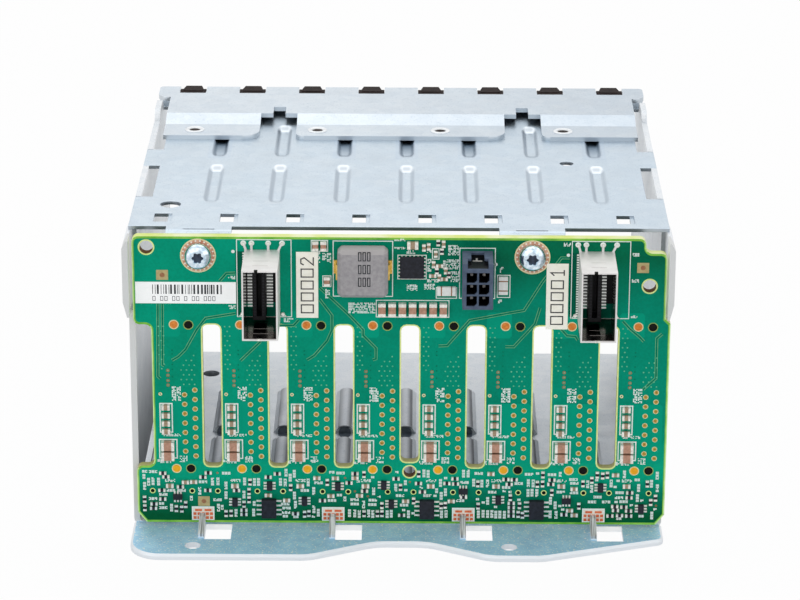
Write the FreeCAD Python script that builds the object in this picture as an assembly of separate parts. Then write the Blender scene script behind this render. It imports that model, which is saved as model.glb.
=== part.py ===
import FreeCAD
import Part
import math
import os

from FreeCAD import Vector

# Eight-bay drive cage with its backplane board, in millimetres.
# X runs across the bays, Y from the rear flange to the open front, Z up.
# The origin is the middle of the footprint, on the underside of the tray.

# Fineness of small round things and corners that repeat
small_sides = 10
corner_chord_count = 3

# Bays
bay_count = 8
bay_pitch = 16.4
bay_depth = 119.6
wall_inset = 0.4

# Sheet metal
tray_sheet = 1.5
panel_sheet = 1.0
brace_sheet = 1.2
bend_inside = 1.0

# Board
board_height = 76.3
board_thickness = 2.4
board_lift = 1.0
board_corner = 1.6
board_left_overlap = 0.3
board_right_overlap = 2.0
board_side_gap = 0.25
board_step_width = 5.3
board_step_height = 3.8
board_jog_drop = 21.0
board_notch_depth = 4.4
board_foot_chamfer = 2.2
board_foot_rise = 2.8

# Air slots between the lanes of the board
slot_width = 4.45
slot_upper_zone = 23.0
slot_lower_zone = 15.4
slot_corner = 1.3
middle_slot_rise = 1.4

# Rear flange of the tray: reach behind the board at its lobes, dip and end
flange_reach = 17.6
flange_dip = 9.4
flange_end = 6.8
flange_corner = 8.0
flange_curve = 11.0
flange_end_corner = 2.5
lobe_left = 22.0
dip_left = 5.5
dip_right = 7.5
lobe_right = 23.0
lobe_right_end = 36.0
rim_bevel = 0.6
flange_hole = 4.0
flange_hole_margin = 5.6
flange_hole_left = 51.0
flange_hole_right = 27.9

# Hooks bent up out of the tray behind the foot of the board
hook_length = 7.0
hook_rise = 2.6
hook_gap = 0.15
hook_nose = 2.0
hook_heel = 1.0
window_width = 6.7
window_margin = 1.0

# Beads pressed into the floor and the top panel between the bays
bead_depth = 1.4
bead_mouth = 4.2
bead_floor = 2.2
bead_slope = 1.6
bead_shift = 1.75
rear_bead_start = 21.6
rear_bead_length = 31.9
bead_gap = 5.8
front_bead_length = 28.7

# Side walls
bump_out = 1.0
bump_length = 14.0
bump_taper = 4.0
bump_tail = 3.0
bump_clearance = 0.8
wall_board_gap = 0.2
wall_window_start = 10.0
wall_window_length = 48.0
wall_window_sill = 1.4
wall_window_height = 7.0
floor_hole = 4.6
floor_hole_start = 102.6

# Top panel
panel_above_board = 0.7
panel_rear_gap = 3.6
panel_front_setback = 7.0
tab_clearance = 0.3
notch_reach = 2.8
rear_tab_start = 26.6
rear_tab_length = 25.0
middle_tab_length = 25.8
tall_tab_length = 12.6
tall_tab_corner = 3.0
board_tab_width = 16.2
board_tab_reach = 9.2
board_tab_slit = 7.8
slit_width = 0.8
vent_width = 4.4
vent_length = 6.4
vent_start = 6.9
vent_shift = 3.4
vent_tab_drop = 0.6
panel_hole_large = 5.2
panel_hole_small = 3.6

# Front brace over the top panel
brace_end_gap = 2.0
brace_setback = 4.6
brace_depth = 40.6
brace_flange = 9.9
brace_slope = 5.8
brace_rise = 2.6
brace_lip = 3.4
ear_length = 10.0
ear_reach = 1.5
ear_corner = 3.0
ear_gap = 0.8
cutout_width = 9.8
cutout_left_round = 4.5
cutout_right_round = 2.2
cutout_notch_width = 3.3
cutout_notch_depth = 5.9
eyelet_bore = 2.7
eyelet_wall = 0.35
eyelet_rim = 0.6
eyelet_lip = 0.35
eyelet_shift = 2.4
fit_gap = 0.05

# Clips in the notches of the brace
clip_width = 7.1
clip_depth = 4.5
clip_play = 0.1
clip_brim = 2.0
clip_waist = 5.4
clip_nose = 4.4
clip_overhang = 0.2
clip_proud = 0.2

# Drive connectors on the front face of the board
connector_width = 4.4
connector_height = 42.0
connector_depth = 9.0
connector_rise = 33.95
connector_wall_gap = 0.1
connector_slot_width = 2.2
connector_slot_height = 33.4
connector_slot_depth = 6.5
connector_key = 1.2
connector_key_height = 5.0
peg_diameter = 1.9
peg_spacing = 38.5
peg_play = 0.15
peg_recess = 0.2
lane_shift = 2.55

# Ports, power header and coil on the rear face of the board
port_width = 8.7
port_height = 18.0
port_depth = 15.6
port_wall = 0.4
port_drop = 3.3
port_shift = 3.6
port_leg_height = 1.9
port_leg_width = 0.6
port_leg_starts = (-4.0, -2.6, 1.5, 4.0)
port_leg_ends = (-4.6, -2.6, 1.5, 4.9)
insert_width = 3.25
insert_depth = 6.6
insert_shift = 0.55
insert_end = 2.0
insert_slot_width = 1.2
insert_slot_depth = 4.6
insert_slot_end = 1.0
contact_count = 17
contact_rise = 0.8
contact_pitch = 0.8
contact_width = 0.32
contact_height = 0.35
contact_reach = 1.5
header_width = 7.5
header_height = 11.9
header_depth = 10.0
header_drop = 3.2
header_cell = 2.5
header_cell_pitch = 3.0
header_cell_depth = 8.6
header_cell_rise = 1.0
header_latch_width = 5.0
header_latch_drop = 1.3
header_latch_depth = 4.0
header_groove_width = 3.2
header_groove_end = 1.4
header_key = 0.6
pin_width = 0.64
pin_length = 6.0
coil_width = 12.4
coil_height = 12.2
coil_depth = 4.8
coil_round = 0.9
coil_drop = 2.0
coil_shift = 11.7
coil_terminal_width = 3.9
coil_terminal_depth = 3.0
coil_terminal_sheet = 0.4
screw_drop = 4.9
screw_head = 6.3
screw_head_height = 2.4
screw_shank = 3.0
screw_length = 6.0
screw_play = 0.2
screw_star = 2.6
screw_star_depth = 1.3

# Small parts soldered on the board
chip_width = 3.7
chip_length = 4.9
chip_height = 1.5
chip_rise = 4.2
regulator_width = 5.9
regulator_length = 5.5
regulator_height = 0.9
regulator_drop = 7.6
regulator_shift = 0.35
small_chip_width = 1.4
small_chip_length = 2.3
small_chip_height = 0.9

# Places of the chips: lane, shift across from the lane's middle and, for small chips, rise
driver_chip_places = [(1, 5.65), (4, -3.8), (5, 7.4)]
upright_chip_places = [(1, -2.9, 5.7), (1, 5.85, 10.2), (2, -1.8, 6.1), (2, 6.6, 10.2), (3, 1.75, 10.6),
                       (3, 3.65, 5.4), (5, -2.25, 6.7), (6, 7.0, 10.2), (7, 0.9, 4.5)]
level_chip_places = [(0, -0.9, 7.1), (4, 5.3, 9.0), (6, -1.5, 6.5)]

# Capacitors, fuses, labels and plain holes of the board
bulk_count = 7
bulk_pitch = 2.52
bulk_width = 1.8
bulk_length = 3.4
bulk_height = 1.6
bulk_drop = 18.5
bulk_shift = 0.55
lane_cap_count = 4
lane_cap_pitch = 2.15
lane_cap_width = 2.0
lane_cap_length = 1.3
lane_cap_height = 1.0
lane_cap_rise = 31.4
lane_cap_shift = 3.45
lane_bulk_count = 2
lane_bulk_pitch = 2.7
lane_bulk_width = 3.2
lane_bulk_length = 2.2
lane_bulk_height = 1.7
lane_bulk_rise = 21.2
lane_bulk_shift = 3.1
fuse_width = 2.3
fuse_length = 4.6
fuse_height = 0.8
fuse_gap = 1.5
upright_fuse_drop = 12.2
level_fuse_drop = 13.7
label_sheet = 0.12
serial_label_width = 24.8
serial_label_height = 5.6
serial_label_drop = 11.8
serial_label_inset = 0.7
port_label_width = 5.4
port_label_height = 17.2
first_label_drop = 6.5
second_label_drop = 3.8
port_label_gap = 0.4
port_label_shift = 11.0
left_hole = 3.4
left_hole_inset = 3.6
left_hole_drop = 2.8
right_hole = 3.3
right_hole_inset = 4.2
right_hole_drop = 12.3
lower_hole = 3.0
lower_hole_drop = 1.25

# Places worked out from the sizes above: across
inner_half = bay_count * bay_pitch / 2 - wall_inset
outer_half = inner_half + tray_sheet
board_left = -inner_half - board_left_overlap
board_right = inner_half + board_right_overlap
board_upper_right = inner_half + bump_out - board_side_gap
brace_half_width = inner_half - brace_end_gap
last_connector_x = inner_half - connector_wall_gap - connector_width / 2

# Places worked out from the sizes above: along the depth
overall_depth = flange_reach + board_thickness + bay_depth
rear_tip = -overall_depth / 2
board_rear = rear_tip + flange_reach
board_front = board_rear + board_thickness
floor_front = board_front + bay_depth
wall_rear = board_front + wall_board_gap
panel_rear = board_front + panel_rear_gap
panel_front = floor_front - panel_front_setback
brace_front = floor_front - brace_setback
brace_rear = brace_front - brace_depth
brace_foot = brace_rear + brace_flange
brace_step = brace_foot + brace_slope
ear_rear = brace_front - ear_length
rear_tab = board_front + rear_tab_start
tall_tab = ear_rear - ear_gap - tall_tab_length
middle_tab = tall_tab - middle_tab_length

# Places worked out from the sizes above: heights
floor_top = tray_sheet
board_bottom = floor_top + board_lift
board_top = board_bottom + board_height
panel_top = board_top + panel_above_board
panel_bottom = panel_top - panel_sheet
brace_top = panel_top + brace_rise
bump_bottom = board_top - board_jog_drop + bump_clearance
slot_top = board_top - slot_upper_zone
slot_bottom = board_bottom + slot_lower_zone
screw_height = board_top - screw_drop
connector_middle = board_bottom + connector_rise
port_top = board_top - port_drop
port_bottom = port_top - port_height


def spread(index, count):
    """Place of one of count evenly spaced things, about the middle of the cage."""
    return (index - (count - 1) / 2) * bay_pitch


def bead_x(index):
    return spread(index, bay_count - 1) + bead_shift


def connector_x(index):
    return last_connector_x - (bay_count - 1 - index) * bay_pitch


def lane_x(index):
    return connector_x(index) - lane_shift


def slot_x(index):
    return lane_x(index) + bay_pitch / 2


middle_slot = bay_count // 2 - 1
hook_places = [spread(index, bay_count // 2) * 2 for index in range(bay_count // 2)]
tab_places = [spread(0.5, bay_count), spread(bay_count - 2.5, bay_count)]
port_places = [slot_x(bay_count - 2) - port_shift, slot_x(1) - port_shift]
cutout_places = [spread(1.5, bay_count), spread(bay_count - 2.5, bay_count)]
header_x = slot_x(middle_slot + 1)
coil_x = slot_x(middle_slot) - coil_shift


def box(x0, x1, y0, y1, z0, z1):
    return Part.makeBox(x1 - x0, y1 - y0, z1 - z0, Vector(x0, y0, z0))


def on_board(x, z, width, length, height):
    """Block that lies on the rear face of the board, centred on x and z."""
    return box(x - width / 2, x + width / 2, board_rear - height, board_rear,
               z - length / 2, z + length / 2)


def rounded_face(corners, place, chords=0):
    """Face inside a closed outline of (u, v, radius) corners; place turns u, v into a point.
    Rounds are arcs, or that many chords."""
    count = len(corners)
    flat = [Vector(u, v, 0) for u, v, radius in corners]
    rounds = []
    for index in range(count):
        corner = flat[index]
        radius = corners[index][2]
        if radius == 0:
            rounds.append([corner])
            continue
        to_last = (flat[index - 1] - corner).normalize()
        to_next = (flat[(index + 1) % count] - corner).normalize()
        half_angle = to_last.getAngle(to_next) / 2
        reach = radius / math.tan(half_angle)
        centre = corner + (to_last + to_next).normalize() * (radius / math.sin(half_angle))
        first = corner + to_last * reach - centre
        last = corner + to_next * reach - centre
        turn = math.pi - 2 * half_angle
        steps = chords or 2
        points = []
        for step in range(steps + 1):
            share = step / steps
            arm = first * math.sin((1 - share) * turn) + last * math.sin(share * turn)
            points.append(centre + arm * (1 / math.sin(turn)))
        rounds.append(points)
    edges = []
    for index in range(count):
        points = [place(point.x, point.y) for point in rounds[index]]
        following = rounds[(index + 1) % count][0]
        if len(points) == 3 and not chords:
            edges.append(Part.Arc(*points).toShape())
        else:
            edges += [Part.makeLine(here, there) for here, there in zip(points, points[1:])]
        edges.append(Part.makeLine(points[-1], place(following.x, following.y)))
    return Part.Face(Part.Wire(edges))


def small_round(u, v, diameter, place):
    """Many-sided face, for small round things that repeat."""
    corners = []
    for index in range(small_sides):
        angle = 2 * math.pi * index / small_sides
        corners.append((u + diameter / 2 * math.cos(angle), v + diameter / 2 * math.sin(angle), 0))
    return rounded_face(corners, place)


def frustum(first, second):
    """Solid with flat faces between two faces of as many corners."""
    rings = [[vertex.Point for vertex in face.OuterWire.OrderedVertexes] for face in (first, second)]
    faces = [first, second]
    for index in range(len(rings[0])):
        corners = [rings[0][index - 1], rings[0][index], rings[1][index], rings[1][index - 1]]
        faces.append(Part.Face(Part.makePolygon(corners + corners[:1])))
    return Part.makeSolid(Part.makeShell(faces))


def rectangle(u0, u1, v0, v1, place):
    return rounded_face([(u0, v0, 0), (u1, v0, 0), (u1, v1, 0), (u0, v1, 0)], place)


def level(height):
    return lambda u, v: Vector(u, v, height)


def upright(depth):
    return lambda u, v: Vector(u, depth, v)


def sideways(across):
    return lambda u, v: Vector(across, u, v)


def rod_along_y(x, z, diameter, y0, y1):
    return Part.makeCylinder(diameter / 2, y1 - y0, Vector(x, y0, z), Vector(0, 1, 0))


def peg(x, z, diameter, y0, y1):
    return small_round(x, z, diameter, upright(y0)).extrude(Vector(0, y1 - y0, 0))


def rod_along_z(x, y, diameter, z0, z1):
    return Part.makeCylinder(diameter / 2, z1 - z0, Vector(x, y, z0), Vector(0, 0, 1))


def trough(x, y0, y1, top, bottom, widening, open_rear):
    """Tapered block of one bead, from its mouth at height top to its floor at height bottom.
    An open rear end is cut off square instead of sloping."""
    mouth = bead_mouth / 2 + widening
    floor = bead_floor / 2 + widening
    rear_slope = 0 if open_rear else bead_slope
    rear = y0 if open_rear else y0 - widening
    front = y1 + widening
    upper = rectangle(x - mouth, x + mouth, rear, front, level(top))
    lower = rectangle(x - floor, x + floor, rear + rear_slope, front - bead_slope, level(bottom))
    return frustum(upper, lower)


def bead_spans():
    """Start and end of the rear and the front bead of one row."""
    rear_start = board_front + rear_bead_start
    rear_end = rear_start + rear_bead_length
    front_start = rear_end + bead_gap
    return (rear_start, rear_end), (front_start, front_start + front_bead_length)


def press_beads(sheet, mouth, back, front_open):
    """Press every bead of the cage into a flat sheet, from its face at mouth towards its face at back."""
    thickness = abs(mouth - back)
    depth = bead_depth if back > mouth else -bead_depth
    ridges = []
    grooves = []
    for index in range(bay_count - 1):
        x = bead_x(index)
        rear_span, front_span = bead_spans()
        for span, opened in ((rear_span, False), (front_span, front_open)):
            start, end = span
            ridges.append(trough(x, start, end, back, back + depth, thickness / 2, opened))
            grooves.append(trough(x, start, end, mouth, mouth + depth, 0, opened))
    return sheet.fuse(ridges).cut(Part.makeCompound(grooves))


def tray_channel():
    """Floor and both side walls as one folded channel."""
    outside = bend_inside + tray_sheet
    outline = [(-outer_half, panel_bottom, 0), (-outer_half, 0, outside), (outer_half, 0, outside),
               (outer_half, panel_bottom, 0), (inner_half, panel_bottom, 0),
               (inner_half, floor_top, bend_inside), (-inner_half, floor_top, bend_inside),
               (-inner_half, panel_bottom, 0)]
    face = rounded_face(outline, upright(wall_rear))
    return face.extrude(Vector(0, floor_front - wall_rear, 0))


def tray_flange():
    """Contoured plate behind the board, with a bevelled rim."""
    dip = board_rear - flange_dip
    outline = [(-outer_half, wall_rear, 0), (-outer_half, rear_tip, flange_corner),
               (-lobe_left, rear_tip, flange_curve), (-dip_left, dip, flange_curve),
               (dip_right, dip, flange_curve), (lobe_right, rear_tip, flange_curve),
               (lobe_right_end, rear_tip, flange_curve),
               (outer_half, board_rear - flange_end, flange_end_corner), (outer_half, wall_rear, 0)]
    plate = rounded_face(outline, level(0)).extrude(Vector(0, 0, tray_sheet))
    rims = []
    for edge in plate.Edges:
        bounds = edge.BoundBox
        is_level = bounds.ZLength < rim_bevel and bounds.ZMax > tray_sheet - rim_bevel
        if is_level and bounds.YMin < wall_rear - rim_bevel:
            rims.append(edge)
    return plate.makeChamfer(rim_bevel, rims)


def hook(x):
    """One upright hook behind the foot of the board, in the plane of its bend."""
    front = board_rear - hook_gap
    rear = front - hook_length
    top = board_bottom + hook_rise
    root = floor_top - tray_sheet / 2
    outline = [(front, root, 0), (rear, root, 0), (rear, floor_top + hook_heel, 0),
               (front - hook_nose, top, 0), (front, top, 0)]
    face = rounded_face(outline, sideways(x - tray_sheet / 2))
    return face.extrude(Vector(tray_sheet, 0, 0))


def hook_window(x):
    left = x + tray_sheet / 2
    rear = board_rear - hook_gap - hook_length - window_margin
    return box(left, left + window_width, rear, board_rear + window_margin, -1, floor_top + 1)


def wall_bump(side):
    """Outward joggle at the upper rear of a wall, beside the edge of the board."""
    inner = side * (inner_half + bump_out)
    outer = side * (outer_half + bump_out)
    flat = side * outer_half
    tail = board_rear - bump_tail
    front = wall_rear + bump_length
    skin = rectangle(tail, front - bump_taper, bump_bottom + bump_taper, panel_bottom - bump_taper / 2,
                     sideways(outer))
    foot = rectangle(tail, front, bump_bottom, panel_bottom, sideways(flat))
    pad = frustum(foot, skin)
    near, far = sorted((inner, side * (inner_half - 1)))
    pocket = box(near, far, tail - 1, front - bump_taper, bump_bottom, panel_bottom)
    web_low, web_high = sorted((side * inner_half, flat))
    web = box(web_low, web_high, tail, wall_rear + 1, bump_bottom, panel_bottom)
    return pad, web, pocket


def wall_tab(side, start, length, height, corner):
    """Part of a wall that stands up beside an edge notch of the top panel."""
    outline = [(start, panel_bottom - 1, 0), (start, height, corner), (start + length, height, corner),
               (start + length, panel_bottom - 1, 0)]
    low = min(side * inner_half, side * outer_half)
    return rounded_face(outline, sideways(low)).extrude(Vector(tray_sheet, 0, 0))


def make_tray():
    tray = tray_channel().fuse(tray_flange())
    windows = []
    for side in (-1, 1):
        pad, web, pocket = wall_bump(side)
        tray = tray.fuse([pad, web]).cut(pocket)
        tray = tray.fuse(wall_tab(side, rear_tab, rear_tab_length, panel_top, 0))
        tray = tray.fuse(wall_tab(side, middle_tab, middle_tab_length, panel_top, 0))
        tray = tray.fuse(wall_tab(side, tall_tab, tall_tab_length, brace_top, tall_tab_corner))
        middle = side * (inner_half + outer_half) / 2
        window_start = board_front + wall_window_start
        sill = floor_top + wall_window_sill
        windows.append(box(middle - tray_sheet, middle + tray_sheet, window_start,
                           window_start + wall_window_length, sill, sill + wall_window_height))
    tray = tray.fuse([hook(x) for x in hook_places])
    windows += [hook_window(x) for x in hook_places]
    hole_y = rear_tip + flange_hole_margin
    windows.append(rod_along_z(-flange_hole_left, hole_y, flange_hole, -1, floor_top + 1))
    windows.append(rod_along_z(flange_hole_right, hole_y, flange_hole, -1, floor_top + 1))
    floor_hole_x = (connector_x(0) + lane_x(0)) / 2
    windows.append(rod_along_z(floor_hole_x, board_front + floor_hole_start, floor_hole, -1, floor_top + 1))
    tray = tray.cut(Part.makeCompound(windows))
    return press_beads(tray, 0, floor_top, True).removeSplitter()


def board_tab(x):
    """Tab of the top panel that bends down against the front face of the board."""
    low = screw_height - board_tab_reach / 2
    outline = [(board_front, low, 0), (board_front, panel_top, panel_sheet), (panel_rear + 1, panel_top, 0),
               (panel_rear + 1, panel_bottom, 0), (board_front + panel_sheet, panel_bottom, 0),
               (board_front + panel_sheet, low, 0)]
    face = rounded_face(outline, sideways(x - board_tab_width / 2))
    return face.extrude(Vector(board_tab_width, 0, 0))


def make_top_panel():
    panel = box(-outer_half, outer_half, panel_rear, panel_front, panel_bottom, panel_top)
    panel = panel.fuse([board_tab(x) for x in tab_places])
    cuts = []
    for side in (-1, 1):
        near, far = sorted((side * (inner_half - notch_reach), side * (outer_half + 1)))
        spans = ((rear_tab, rear_tab + rear_tab_length), (middle_tab, tall_tab + tall_tab_length))
        for start, end in spans:
            cuts.append(box(near, far, start - tab_clearance, end + tab_clearance,
                            panel_bottom - 1, panel_top + 1))
    vent_tabs = []
    for index in range(bay_count):
        left = spread(index, bay_count) - vent_shift
        y0 = board_front + vent_start
        y1 = y0 + vent_length
        cuts.append(box(left, left + vent_width, y0, y1, panel_bottom - 1, panel_top + 1))
        vent_tabs.append(box(left + vent_width - panel_sheet, left + vent_width + panel_sheet / 2, y0, y1,
                             panel_bottom - vent_tab_drop, panel_top - panel_sheet / 2))
    for x in tab_places:
        y0 = board_front + panel_sheet
        cuts.append(box(x - board_tab_slit / 2, x + board_tab_slit / 2, y0, y0 + slit_width,
                        panel_bottom - 1, panel_top + 1))
        cuts.append(peg(x, screw_height, screw_shank + screw_play, board_front - 1,
                        board_front + panel_sheet + 1))
    large_x = spread(0, bay_count)
    small_x = spread(bay_count - 2, bay_count) + eyelet_shift
    large_y = board_front + rear_bead_start - panel_hole_large / 4
    small_y = board_front + rear_bead_start + rear_bead_length + panel_hole_small / 2
    cuts.append(rod_along_z(large_x, large_y, panel_hole_large, panel_bottom - 1, panel_top + 1))
    cuts.append(rod_along_z(small_x, small_y, panel_hole_small, panel_bottom - 1, panel_top + 1))
    panel = panel.cut(Part.makeCompound(cuts)).fuse(vent_tabs)
    panel = panel.cut(Part.makeCompound(eyelet_bores()))
    return press_beads(panel, panel_top, panel_bottom, False).removeSplitter()


def eyelet_places():
    y = brace_rear + brace_flange / 2
    return [(spread(index, bay_count) + eyelet_shift, y) for index in range(0, bay_count, 2)]


def eyelet_bores():
    bore = eyelet_bore + 2 * eyelet_wall + 2 * fit_gap
    low = panel_bottom - 1
    height = panel_top + brace_sheet + 1 - low
    return [small_round(x, y, bore, level(low)).extrude(Vector(0, 0, height)) for x, y in eyelet_places()]


def corner_round(edge, side, radius):
    """What a rounded rear corner of the brace takes off, beside one edge of a cut-out."""
    near, far = sorted((edge, edge + side * radius))
    square = box(near, far, brace_rear, brace_rear + radius, panel_top - 1, brace_top + 1)
    return square.cut(rod_along_z(edge + side * radius, brace_rear + radius, 2 * radius,
                                  panel_top - 2, brace_top + 2))


def make_front_brace():
    foot_top = panel_top + brace_sheet
    inside = brace_front - brace_sheet
    lip_bottom = brace_top - brace_lip
    outline = [(brace_rear, panel_top, 0), (brace_rear, foot_top, 0), (brace_foot, foot_top, 0),
               (brace_step, brace_top, 0), (brace_front, brace_top, 0), (brace_front, lip_bottom, 0),
               (inside, lip_bottom, 0), (inside, brace_top - brace_sheet, 0),
               (brace_step, brace_top - brace_sheet, 0), (brace_foot, panel_top, 0)]
    face = rounded_face(outline, sideways(-brace_half_width))
    brace = face.extrude(Vector(2 * brace_half_width, 0, 0))
    for side in (-1, 1):
        root = side * (brace_half_width - 1)
        tip = side * (inner_half + ear_reach)
        outline = [(root, ear_rear, 0), (tip, ear_rear, ear_corner), (tip, brace_front, brace_sheet),
                   (root, brace_front, 0)]
        ear_bottom = brace_top - brace_sheet
        ear = rounded_face(outline, level(ear_bottom)).extrude(Vector(0, 0, brace_sheet))
        brace = brace.fuse(ear)
    cuts = []
    for x in cutout_places:
        left = x - cutout_width / 2
        right = x + cutout_width / 2
        cuts.append(box(left, right, brace_rear - 1, brace_step, panel_top - 1, brace_top + 1))
        cuts.append(corner_round(left, -1, cutout_left_round))
        cuts.append(corner_round(right, 1, cutout_right_round))
        notch_half = cutout_notch_width / 2
        cuts.append(box(x - notch_half, x + notch_half, brace_step - 1, brace_step + cutout_notch_depth,
                        panel_top - 1, brace_top + 1))
    for index in range(bay_count):
        x = spread(index, bay_count)
        half = clip_width / 2 + clip_play
        cuts.append(box(x - half, x + half, brace_front - clip_depth - clip_play, brace_front + 1,
                        panel_top, brace_top + 1))
    brace = brace.cut(Part.makeCompound(cuts)).cut(Part.makeCompound(eyelet_bores()))
    return brace.removeSplitter()


def make_brace_eyelets():
    """Barrels through the brace and the top panel, with a flared rim above and below."""
    barrel = eyelet_bore + 2 * eyelet_wall
    rim = barrel + 2 * eyelet_rim
    top = panel_top + brace_sheet
    low = panel_bottom - eyelet_lip
    high = top + eyelet_lip
    eyelets = []
    for x, y in eyelet_places():
        body = small_round(x, y, barrel, level(low)).extrude(Vector(0, 0, high - low))
        for seat, end in ((panel_bottom, low), (top, high)):
            wide = small_round(x, y, rim, level(seat))
            narrow = small_round(x, y, barrel, level(end))
            body = body.fuse(frustum(wide, narrow))
        bore = small_round(x, y, eyelet_bore, level(low - 1)).extrude(Vector(0, 0, high - low + 2))
        eyelets.append(body.cut(bore).removeSplitter())
    return Part.makeCompound(eyelets)


def make_front_clip(index):
    """Black clip: a brim in the notch of the brace and a tapered nose over the front edge."""
    x = spread(index, bay_count)
    rear = brace_front - clip_depth
    brim = rear + clip_brim
    front = brace_front + clip_overhang
    half = clip_width / 2
    waist = clip_waist / 2
    nose = clip_nose / 2
    base = box(x - half, x + half, rear, brim, panel_top, brace_top + clip_play)
    outline = [(x - waist, rear, 0), (x - waist, brim, 0), (x - nose, front, 0), (x + nose, front, 0),
               (x + waist, brim, 0), (x + waist, rear, 0)]
    body = rounded_face(outline, level(panel_top)).extrude(Vector(0, 0, brace_top + clip_proud - panel_top))
    return base.fuse(body).removeSplitter()


def board_outline():
    """Outline of the board as (x, z, radius) corners, from its lower left corner."""
    notch = board_left + board_notch_depth
    jog = board_top - board_jog_drop
    jog_run = board_right - board_upper_right
    step_x = board_upper_right - board_step_width
    step_z = board_top - board_step_height
    return [(board_left + board_foot_chamfer, board_bottom, 0),
            (board_left, board_bottom + board_foot_rise, 0),
            (board_left, slot_bottom, board_corner), (notch, slot_bottom, board_corner),
            (notch, slot_top, board_corner), (board_left, slot_top, board_corner),
            (board_left, board_top, board_corner), (step_x, board_top, board_corner),
            (step_x, step_z, board_corner), (board_upper_right, step_z, board_corner),
            (board_upper_right, jog, 0), (board_right, jog - jog_run, 0),
            (board_right, board_bottom + board_foot_rise, 0),
            (board_right - board_foot_chamfer, board_bottom, 0)]


def board_holes():
    """Centre and diameter of each round hole of the board, pegs apart."""
    holes = [(x, screw_height, screw_shank + 2 * screw_play) for x in tab_places]
    holes.append((board_left + left_hole_inset, board_top - left_hole_drop, left_hole))
    holes.append((board_upper_right - right_hole_inset, board_top - right_hole_drop, right_hole))
    holes.append((slot_x(middle_slot), slot_bottom - lower_hole_drop, lower_hole))
    return holes


def make_backplane_board():
    face = rounded_face(board_outline(), upright(board_rear))
    board = face.extrude(Vector(0, board_thickness, 0))
    cuts = []
    for index in range(bay_count - 1):
        x = slot_x(index)
        half = slot_width / 2
        low = slot_bottom + (middle_slot_rise if index == middle_slot else 0)
        outline = [(x - half, low, slot_corner), (x + half, low, slot_corner),
                   (x + half, slot_top, slot_corner), (x - half, slot_top, slot_corner)]
        slot = rounded_face(outline, upright(board_rear - 1), corner_chord_count)
        cuts.append(slot.extrude(Vector(0, board_thickness + 2, 0)))
    for x, z, diameter in board_holes():
        cuts.append(rod_along_y(x, z, diameter, board_rear - 1, board_front + 1))
    for index in range(bay_count):
        for end in (-1, 1):
            z = connector_middle + end * peg_spacing / 2
            hole = peg_diameter + 2 * peg_play
            cuts.append(peg(connector_x(index), z, hole, board_rear - 1, board_front + 1))
    return board.cut(Part.makeCompound(cuts))


def make_drive_connector(index):
    """Upright drive receptacle on the front face of the board, with two pegs through it."""
    x = connector_x(index)
    half = connector_width / 2
    low = connector_middle - connector_height / 2
    high = connector_middle + connector_height / 2
    front = board_front + connector_depth
    body = box(x - half, x + half, board_front, front, low, high)
    slot_half = connector_slot_width / 2
    slot_low = connector_middle - connector_slot_height / 2
    slot_high = connector_middle + connector_slot_height / 2
    floor = front - connector_slot_depth
    slot = box(x - slot_half, x + slot_half, floor, front + 1, slot_low, slot_high)
    key_wide = slot_half + connector_key / 2
    key = box(x - key_wide, x + slot_half, floor, front + 1, slot_high - connector_key_height, slot_high)
    body = body.cut(slot.fuse(key))
    for end in (-1, 1):
        z = connector_middle + end * peg_spacing / 2
        body = body.fuse(peg(x, z, peg_diameter, board_rear + peg_recess, board_front + 1))
    return body.removeSplitter()


def make_port_shell(x):
    """Open rectangular metal shell standing on the board, with four splayed solder legs."""
    half = port_width / 2
    front = board_rear - port_depth
    shell = box(x - half, x + half, front, board_rear, port_bottom, port_top)
    bore = box(x - half + port_wall, x + half - port_wall, front - 1, board_rear + 1,
               port_bottom + port_wall, port_top - port_wall)
    shell = shell.cut(bore)
    side = port_leg_width / 2
    leg_top = port_top + port_leg_height
    for start, end in zip(port_leg_starts, port_leg_ends):
        outline = [(x + start - side, port_top, 0), (x + start + side, port_top, 0),
                   (x + end + side, leg_top, 0), (x + end - side, leg_top, 0)]
        leg = rounded_face(outline, upright(board_rear - port_wall)).extrude(Vector(0, port_wall, 0))
        shell = shell.fuse(leg)
    return shell.removeSplitter()


def make_port_insert(x):
    """Black tower in the middle of a port, slotted from its outer end."""
    middle = x - insert_shift
    half = insert_width / 2
    low = port_bottom + insert_end
    high = port_top - insert_end
    tower = box(middle - half, middle + half, board_rear - insert_depth, board_rear, low, high)
    slot_half = insert_slot_width / 2
    slot = box(middle - slot_half, middle + slot_half, board_rear - insert_depth - 1,
               board_rear - insert_depth + insert_slot_depth, low + insert_slot_end, high - insert_slot_end)
    return tower.cut(slot)


def make_port_contacts(x):
    """Two rows of contact tails that lie on the board beside the tower."""
    tails = []
    tower_x = x - insert_shift
    middle = (port_top + port_bottom) / 2 + contact_rise
    for index in range(contact_count):
        z = middle + (index - (contact_count - 1) / 2) * contact_pitch
        for side in (-1, 1):
            near, far = sorted((side * insert_width / 2, side * (insert_width / 2 + contact_reach)))
            tails.append(box(tower_x + near, tower_x + far, board_rear - contact_height, board_rear,
                             z - contact_width / 2, z + contact_width / 2))
    return Part.makeCompound(tails)


def header_cells():
    """Centres of the six cells of the power header."""
    low = board_top - header_drop - header_height + header_cell_rise + header_cell / 2
    cells = []
    for row in range(3):
        for column in (-0.5, 0.5):
            cells.append((header_x + column * header_cell_pitch, low + row * header_cell_pitch))
    return cells


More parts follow.
